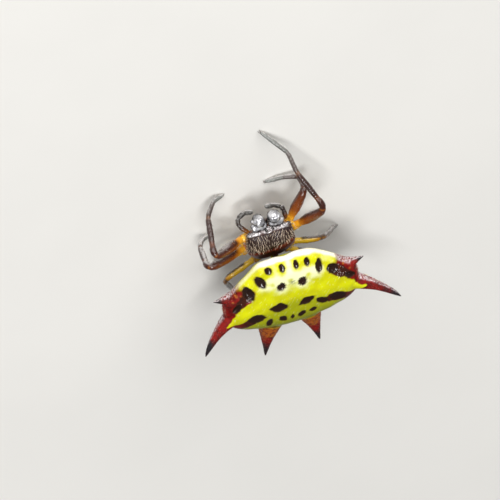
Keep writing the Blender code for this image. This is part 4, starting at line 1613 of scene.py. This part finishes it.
class SpiderHead(bpy.types.PropertyGroup):
    """Sizes and colours of head and chest."""

    crown: colour("Crown", "Dark maroon under the hairs", (0.018, 0.006, 0.005, 1.0))
    slope: colour("Slope", "Red-brown of the bare slope behind", (0.13, 0.018, 0.007, 1.0))
    # Colour of the painted highlight on the front bar
    brow: colour("Brow", "Grey front bar", (0.48, 0.46, 0.47, 1.0))
    hip: colour("Hip", "Amber of the hips", (0.80, 0.46, 0.022, 1.0))
    hip_deep: colour("Deep hip", "Darker amber of the hips", (0.42, 0.12, 0.012, 1.0))
    hair_root: colour("Hair root", "Colour at the root of a hair", (0.26, 0.15, 0.11, 1.0))
    hair_tip: colour("Hair tip", "Colour at the tip of a hair", (0.74, 0.60, 0.46, 1.0))
    hair_length: FloatProperty(
        name="Hair length", description="Length of the crown's hairs, in millimetres", default=0.40, min=0.05, max=1.0
    )
    hair_number: IntProperty(name="Hairs", description="Hairs on a square millimetre", default=90, min=1, max=900)


class SpiderLegs(bpy.types.PropertyGroup):
    """Sizes and colours of the coat of the legs."""

    front_side: colour("Thigh side", "Dark upper side of the front thighs", (0.036, 0.008, 0.004, 1.0))
    back_side: colour("Dark stripe", "Dark stripe of the back legs", (0.030, 0.016, 0.010, 1.0))
    hair_root: colour("Hair root", "Colour at the root of a hair", (0.14, 0.10, 0.08, 1.0))
    hair_tip: colour("Hair tip", "Colour at the tip of a hair", (0.58, 0.55, 0.50, 1.0))
    hair_length: FloatProperty(
        name="Hair length", description="Length of the flat hairs, in millimetres", default=0.17, min=0.02, max=1.0
    )
    fringe_length: FloatProperty(
        name="Fringe length", description="Length of the standing hairs, in millimetres", default=0.34, min=0.02, max=1.0
    )


class SpiderStage(bpy.types.PropertyGroup):
    """Floor, lights and camera."""

    floor: colour("Floor", "Colour of the floor", (0.74, 0.73, 0.70, 1.0))
    key_power: FloatProperty(name="Key light", description="Power of the front light", default=3.6, min=0.0, subtype="POWER")
    fill_power: FloatProperty(name="Top light", description="Power of the top light", default=0.85, min=0.0, subtype="POWER")
    sky: FloatProperty(name="Sky", description="Brightness all round", default=0.17, min=0.0)
    camera_distance: FloatProperty(
        name="Camera distance", description="From the spider to the camera", default=0.60, min=0.1, unit="LENGTH"
    )


class SPIDER_OT_abdomen(bpy.types.Operator):
    """Make the skin of the abdomen with its plate, pits and spines"""

    bl_idname = "spider.abdomen"
    bl_label = "Abdomen"

    def execute(self, context):
        abdomen_skin(context.scene.spider_plate)
        return {"FINISHED"}


class SPIDER_OT_spinnerets(bpy.types.Operator):
    """Make the silk cones under the abdomen"""

    bl_idname = "spider.spinnerets"
    bl_label = "Spinnerets"

    def execute(self, context):
        spinneret_skin()
        return {"FINISHED"}


class SPIDER_OT_head(bpy.types.Operator):
    """Make the skin of head, chest and hips"""

    bl_idname = "spider.head"
    bl_label = "Head and chest"

    def execute(self, context):
        head_skin(context.scene.spider_head)
        return {"FINISHED"}


class SPIDER_OT_eyes(bpy.types.Operator):
    """Set the eight eyes in their mounds"""

    bl_idname = "spider.eyes"
    bl_label = "Eyes"

    def execute(self, context):
        finish = plain_finish("eye gloss", (0.004, 0.003, 0.004, 1), (0.020, 0.008, 0.006, 1), 2600.0, 0.04, 0.0, 1.0)
        for name, across, along, height, radius in EYES:
            eye(name, across, along, height, radius, finish)
        return {"FINISHED"}


class SPIDER_OT_jaws(bpy.types.Operator):
    """Make the two jaws and their fangs"""

    bl_idname = "spider.jaws"
    bl_label = "Jaws and fangs"

    def execute(self, context):
        shell = jaw_finish()
        horn = plain_finish("fang horn", (0.030, 0.008, 0.005, 1), (0.090, 0.022, 0.010, 1), 4000.0, 0.12, 0.000004, 0.6)
        for side in ("left", "right"):
            jaw(side, shell)
            fang(side, horn)
        return {"FINISHED"}


class SPIDER_OT_palps(bpy.types.Operator):
    """Make the two jointed feelers"""

    bl_idname = "spider.palps"
    bl_label = "Feelers"

    def execute(self, context):
        finish = leg_finish("palp shell", PALP_STOPS, (0.05, 0.04, 0.035, 1))
        for side in PALPS:
            palp(side, finish)
        return {"FINISHED"}


class SPIDER_OT_legs(bpy.types.Operator):
    """Make the eight legs and their claws"""

    bl_idname = "spider.legs"
    bl_label = "Legs and claws"

    def execute(self, context):
        looks = context.scene.spider_legs
        front = leg_finish("front leg shell", FRONT_STOPS, looks.front_side)
        back = leg_finish("back leg shell", BACK_STOPS, looks.back_side)
        horn = plain_finish("claw horn", (0.02, 0.012, 0.010, 1), (0.06, 0.035, 0.025, 1), 6000.0, 0.2, 0.000003, 0.4)
        for name in LEGS:
            leg(name, front if name[-1] in "12" else back)
            claws(name, horn)
        return {"FINISHED"}


class SPIDER_OT_hairs(bpy.types.Operator):
    """Grow the hairs of crown, hips, jaws, feelers, legs and abdomen"""

    bl_idname = "spider.hairs"
    bl_label = "Hairs"

    def execute(self, context):
        head, legs = context.scene.spider_head, context.scene.spider_legs
        cream = hair_finish("crown hair", head.hair_root, head.hair_tip)
        grey = hair_finish("leg hair", legs.hair_root, legs.hair_tip)
        white = hair_finish("standing hair", (0.26, 0.16, 0.09, 1), (0.78, 0.74, 0.66, 1))
        pink = hair_finish("spine hair", (0.09, 0.010, 0.006, 1), (0.34, 0.12, 0.09, 1))
        blond = hair_finish("plate hair", (0.16, 0.07, 0.025, 1), (0.62, 0.50, 0.30, 1))
        grow(
            "head_skin", "head_hair", "head_shell", cream, number=head.hair_number, length=head.hair_length,
            spacing=0.125, thick=0.018, rise=0.15, stray=0.07, curl=0.15, seed=3,
        )
        grow(
            "head_skin", "hip_hair", "head_shell", grey, where="fringe", number=60, length=0.24, thick=0.009,
            rise=0.8, stray=0.4, curl=0.25, seed=5,
        )
        for side in ("left", "right"):
            grow(
                "jaw_" + side, "jaw_" + side + "_hair", "jaw_shell", grey, number=28, length=0.16, thick=0.007,
                rise=0.6, stray=0.3, seed=7,
            )
            grow(
                "palp_" + side + "_skin", "palp_" + side + "_hair", "palp_shell", grey, number=45, length=0.20,
                thick=0.005, rise=0.8, stray=0.25, seed=9,
            )
        for number, name in enumerate(LEGS):
            grow(
                name + "_skin", name + "_hair", "leg_shell", grey, number=45, length=legs.hair_length, thick=0.005,
                rise=0.45, stray=0.2, curl=0.2, seed=20 + number,
            )
            grow(
                name + "_skin", name + "_fringe", "leg_shell", white, where="fringe", number=110, spacing=0.075,
                length=legs.fringe_length, thick=0.010, rise=1.9, stray=0.12, curl=0.2, seed=40 + number,
            )
        grow(
            "abdomen_skin", "abdomen_hair", "abdomen_shell", pink, number=60, spacing=0.09, length=0.085, thick=0.011,
            rise=0.7, stray=0.15, seed=61,
        )
        grow(
            "abdomen_skin", "abdomen_fringe", "abdomen_shell", blond, where="fringe", number=60, length=0.17,
            thick=0.008, rise=1.1, stray=0.35, seed=63,
        )
        return {"FINISHED"}


def area_light(name, way, distance, size, power, tint):
    """A soft light that shines at the spider from a direction."""
    data = bpy.data.lights.new(name, "AREA")
    data.shape = "RECTANGLE"
    data.size, data.size_y = size
    data.energy = power
    data.color = tint
    made = bpy.data.objects.new(name, data)
    bpy.context.scene.collection.objects.link(made)
    way = Vector(way).normalized()
    made.location = Vector(PLATE_PLACE * MM) + way * distance
    made.rotation_euler = way.to_track_quat("Z", "Y").to_euler()
    made.visible_camera = False
    return made


class SPIDER_OT_stage(bpy.types.Operator):
    """Set the floor, the lights and the camera"""

    bl_idname = "spider.stage"
    bl_label = "Stage"

    def execute(self, context):
        looks, scene = context.scene.spider_stage, context.scene
        floor = raw_object("floor", [lofted(
            [[(-0.8, -0.8, h), (0.8, -0.8, h), (0.8, 0.8, h), (-0.8, 0.8, h)] for h in (-0.01, 0.0)]
        )])
        floor.data.shade_flat()
        finish = Finish("floor card", Roughness=0.7)
        cloud = finish.step(finish.noise(60.0), 0.3, 0.7)
        darker = tuple(c * 0.97 for c in looks.floor[:3]) + (1.0,)
        finish.set(Base_Color=finish.mix(cloud, looks.floor, darker))
        floor.data.materials.append(finish.material)

        world = bpy.data.worlds.new("studio")
        world.use_nodes = True
        sky = world.node_tree.nodes["Background"]
        sky.inputs["Color"].default_value = (0.95, 0.97, 1.0, 1.0)
        sky.inputs["Strength"].default_value = looks.sky
        scene.world = world
        area_light("key light", (-0.12, -0.90, 0.42), 0.50, (0.80, 0.34), looks.key_power, (1.0, 0.98, 0.95))
        area_light("top light", (0.20, -0.35, 1.0), 0.36, (0.13, 0.13), looks.fill_power, (1.0, 1.0, 1.0))

        lens = bpy.data.cameras.new("camera")
        lens.sensor_width = SENSOR_WIDTH
        lens.lens = SENSOR_WIDTH * looks.camera_distance / (PICTURE_WIDTH * MM)
        lens.clip_start, lens.clip_end = 0.01, 10.0
        camera = bpy.data.objects.new("camera", lens)
        scene.collection.objects.link(camera)
        aim = (PLATE_PLACE + VIEW_RIGHT * AIM_RIGHT + VIEW_UP * AIM_UP) * MM
        axes = Matrix([VIEW_RIGHT, VIEW_UP, VIEW_OUT]).transposed()
        camera.matrix_world = Matrix.Translation(aim + VIEW_OUT * looks.camera_distance) @ axes.to_4x4()
        scene.camera = camera
        scene.view_settings.view_transform = "Standard"
        return {"FINISHED"}


OPERATORS = (
    SPIDER_OT_abdomen,
    SPIDER_OT_spinnerets,
    SPIDER_OT_head,
    SPIDER_OT_eyes,
    SPIDER_OT_jaws,
    SPIDER_OT_palps,
    SPIDER_OT_legs,
    SPIDER_OT_hairs,
    SPIDER_OT_stage,
)
GROUPS = {
    "spider_plate": SpiderPlate,
    "spider_head": SpiderHead,
    "spider_legs": SpiderLegs,
    "spider_stage": SpiderStage,
}


class SPIDER_PT_panel(bpy.types.Panel):
    """The spider's pieces, sizes and colours"""

    bl_idname = "SPIDER_PT_panel"
    bl_label = "Spiny orb weaver"
    bl_space_type = "VIEW_3D"
    bl_region_type = "UI"
    bl_category = "Spider"

    def draw(self, context):
        for name, group in GROUPS.items():
            box = self.layout.box()
            looks = getattr(context.scene, name)
            for key in group.__annotations__:
                box.prop(looks, key)
        for operator in OPERATORS:
            self.layout.operator(operator.bl_idname)


def register():
    for made in (*GROUPS.values(), *OPERATORS, SPIDER_PT_panel):
        bpy.utils.register_class(made)
    for name, group in GROUPS.items():
        setattr(bpy.types.Scene, name, PointerProperty(type=group))


def unregister():
    for name in GROUPS:
        delattr(bpy.types.Scene, name)
    for made in reversed((*GROUPS.values(), *OPERATORS, SPIDER_PT_panel)):
        bpy.utils.unregister_class(made)


def main():
    register()
    for operator in OPERATORS:
        part = operator.bl_idname.split(".")[1]
        getattr(bpy.ops.spider, part)()


if __name__ == "__main__":
    main()
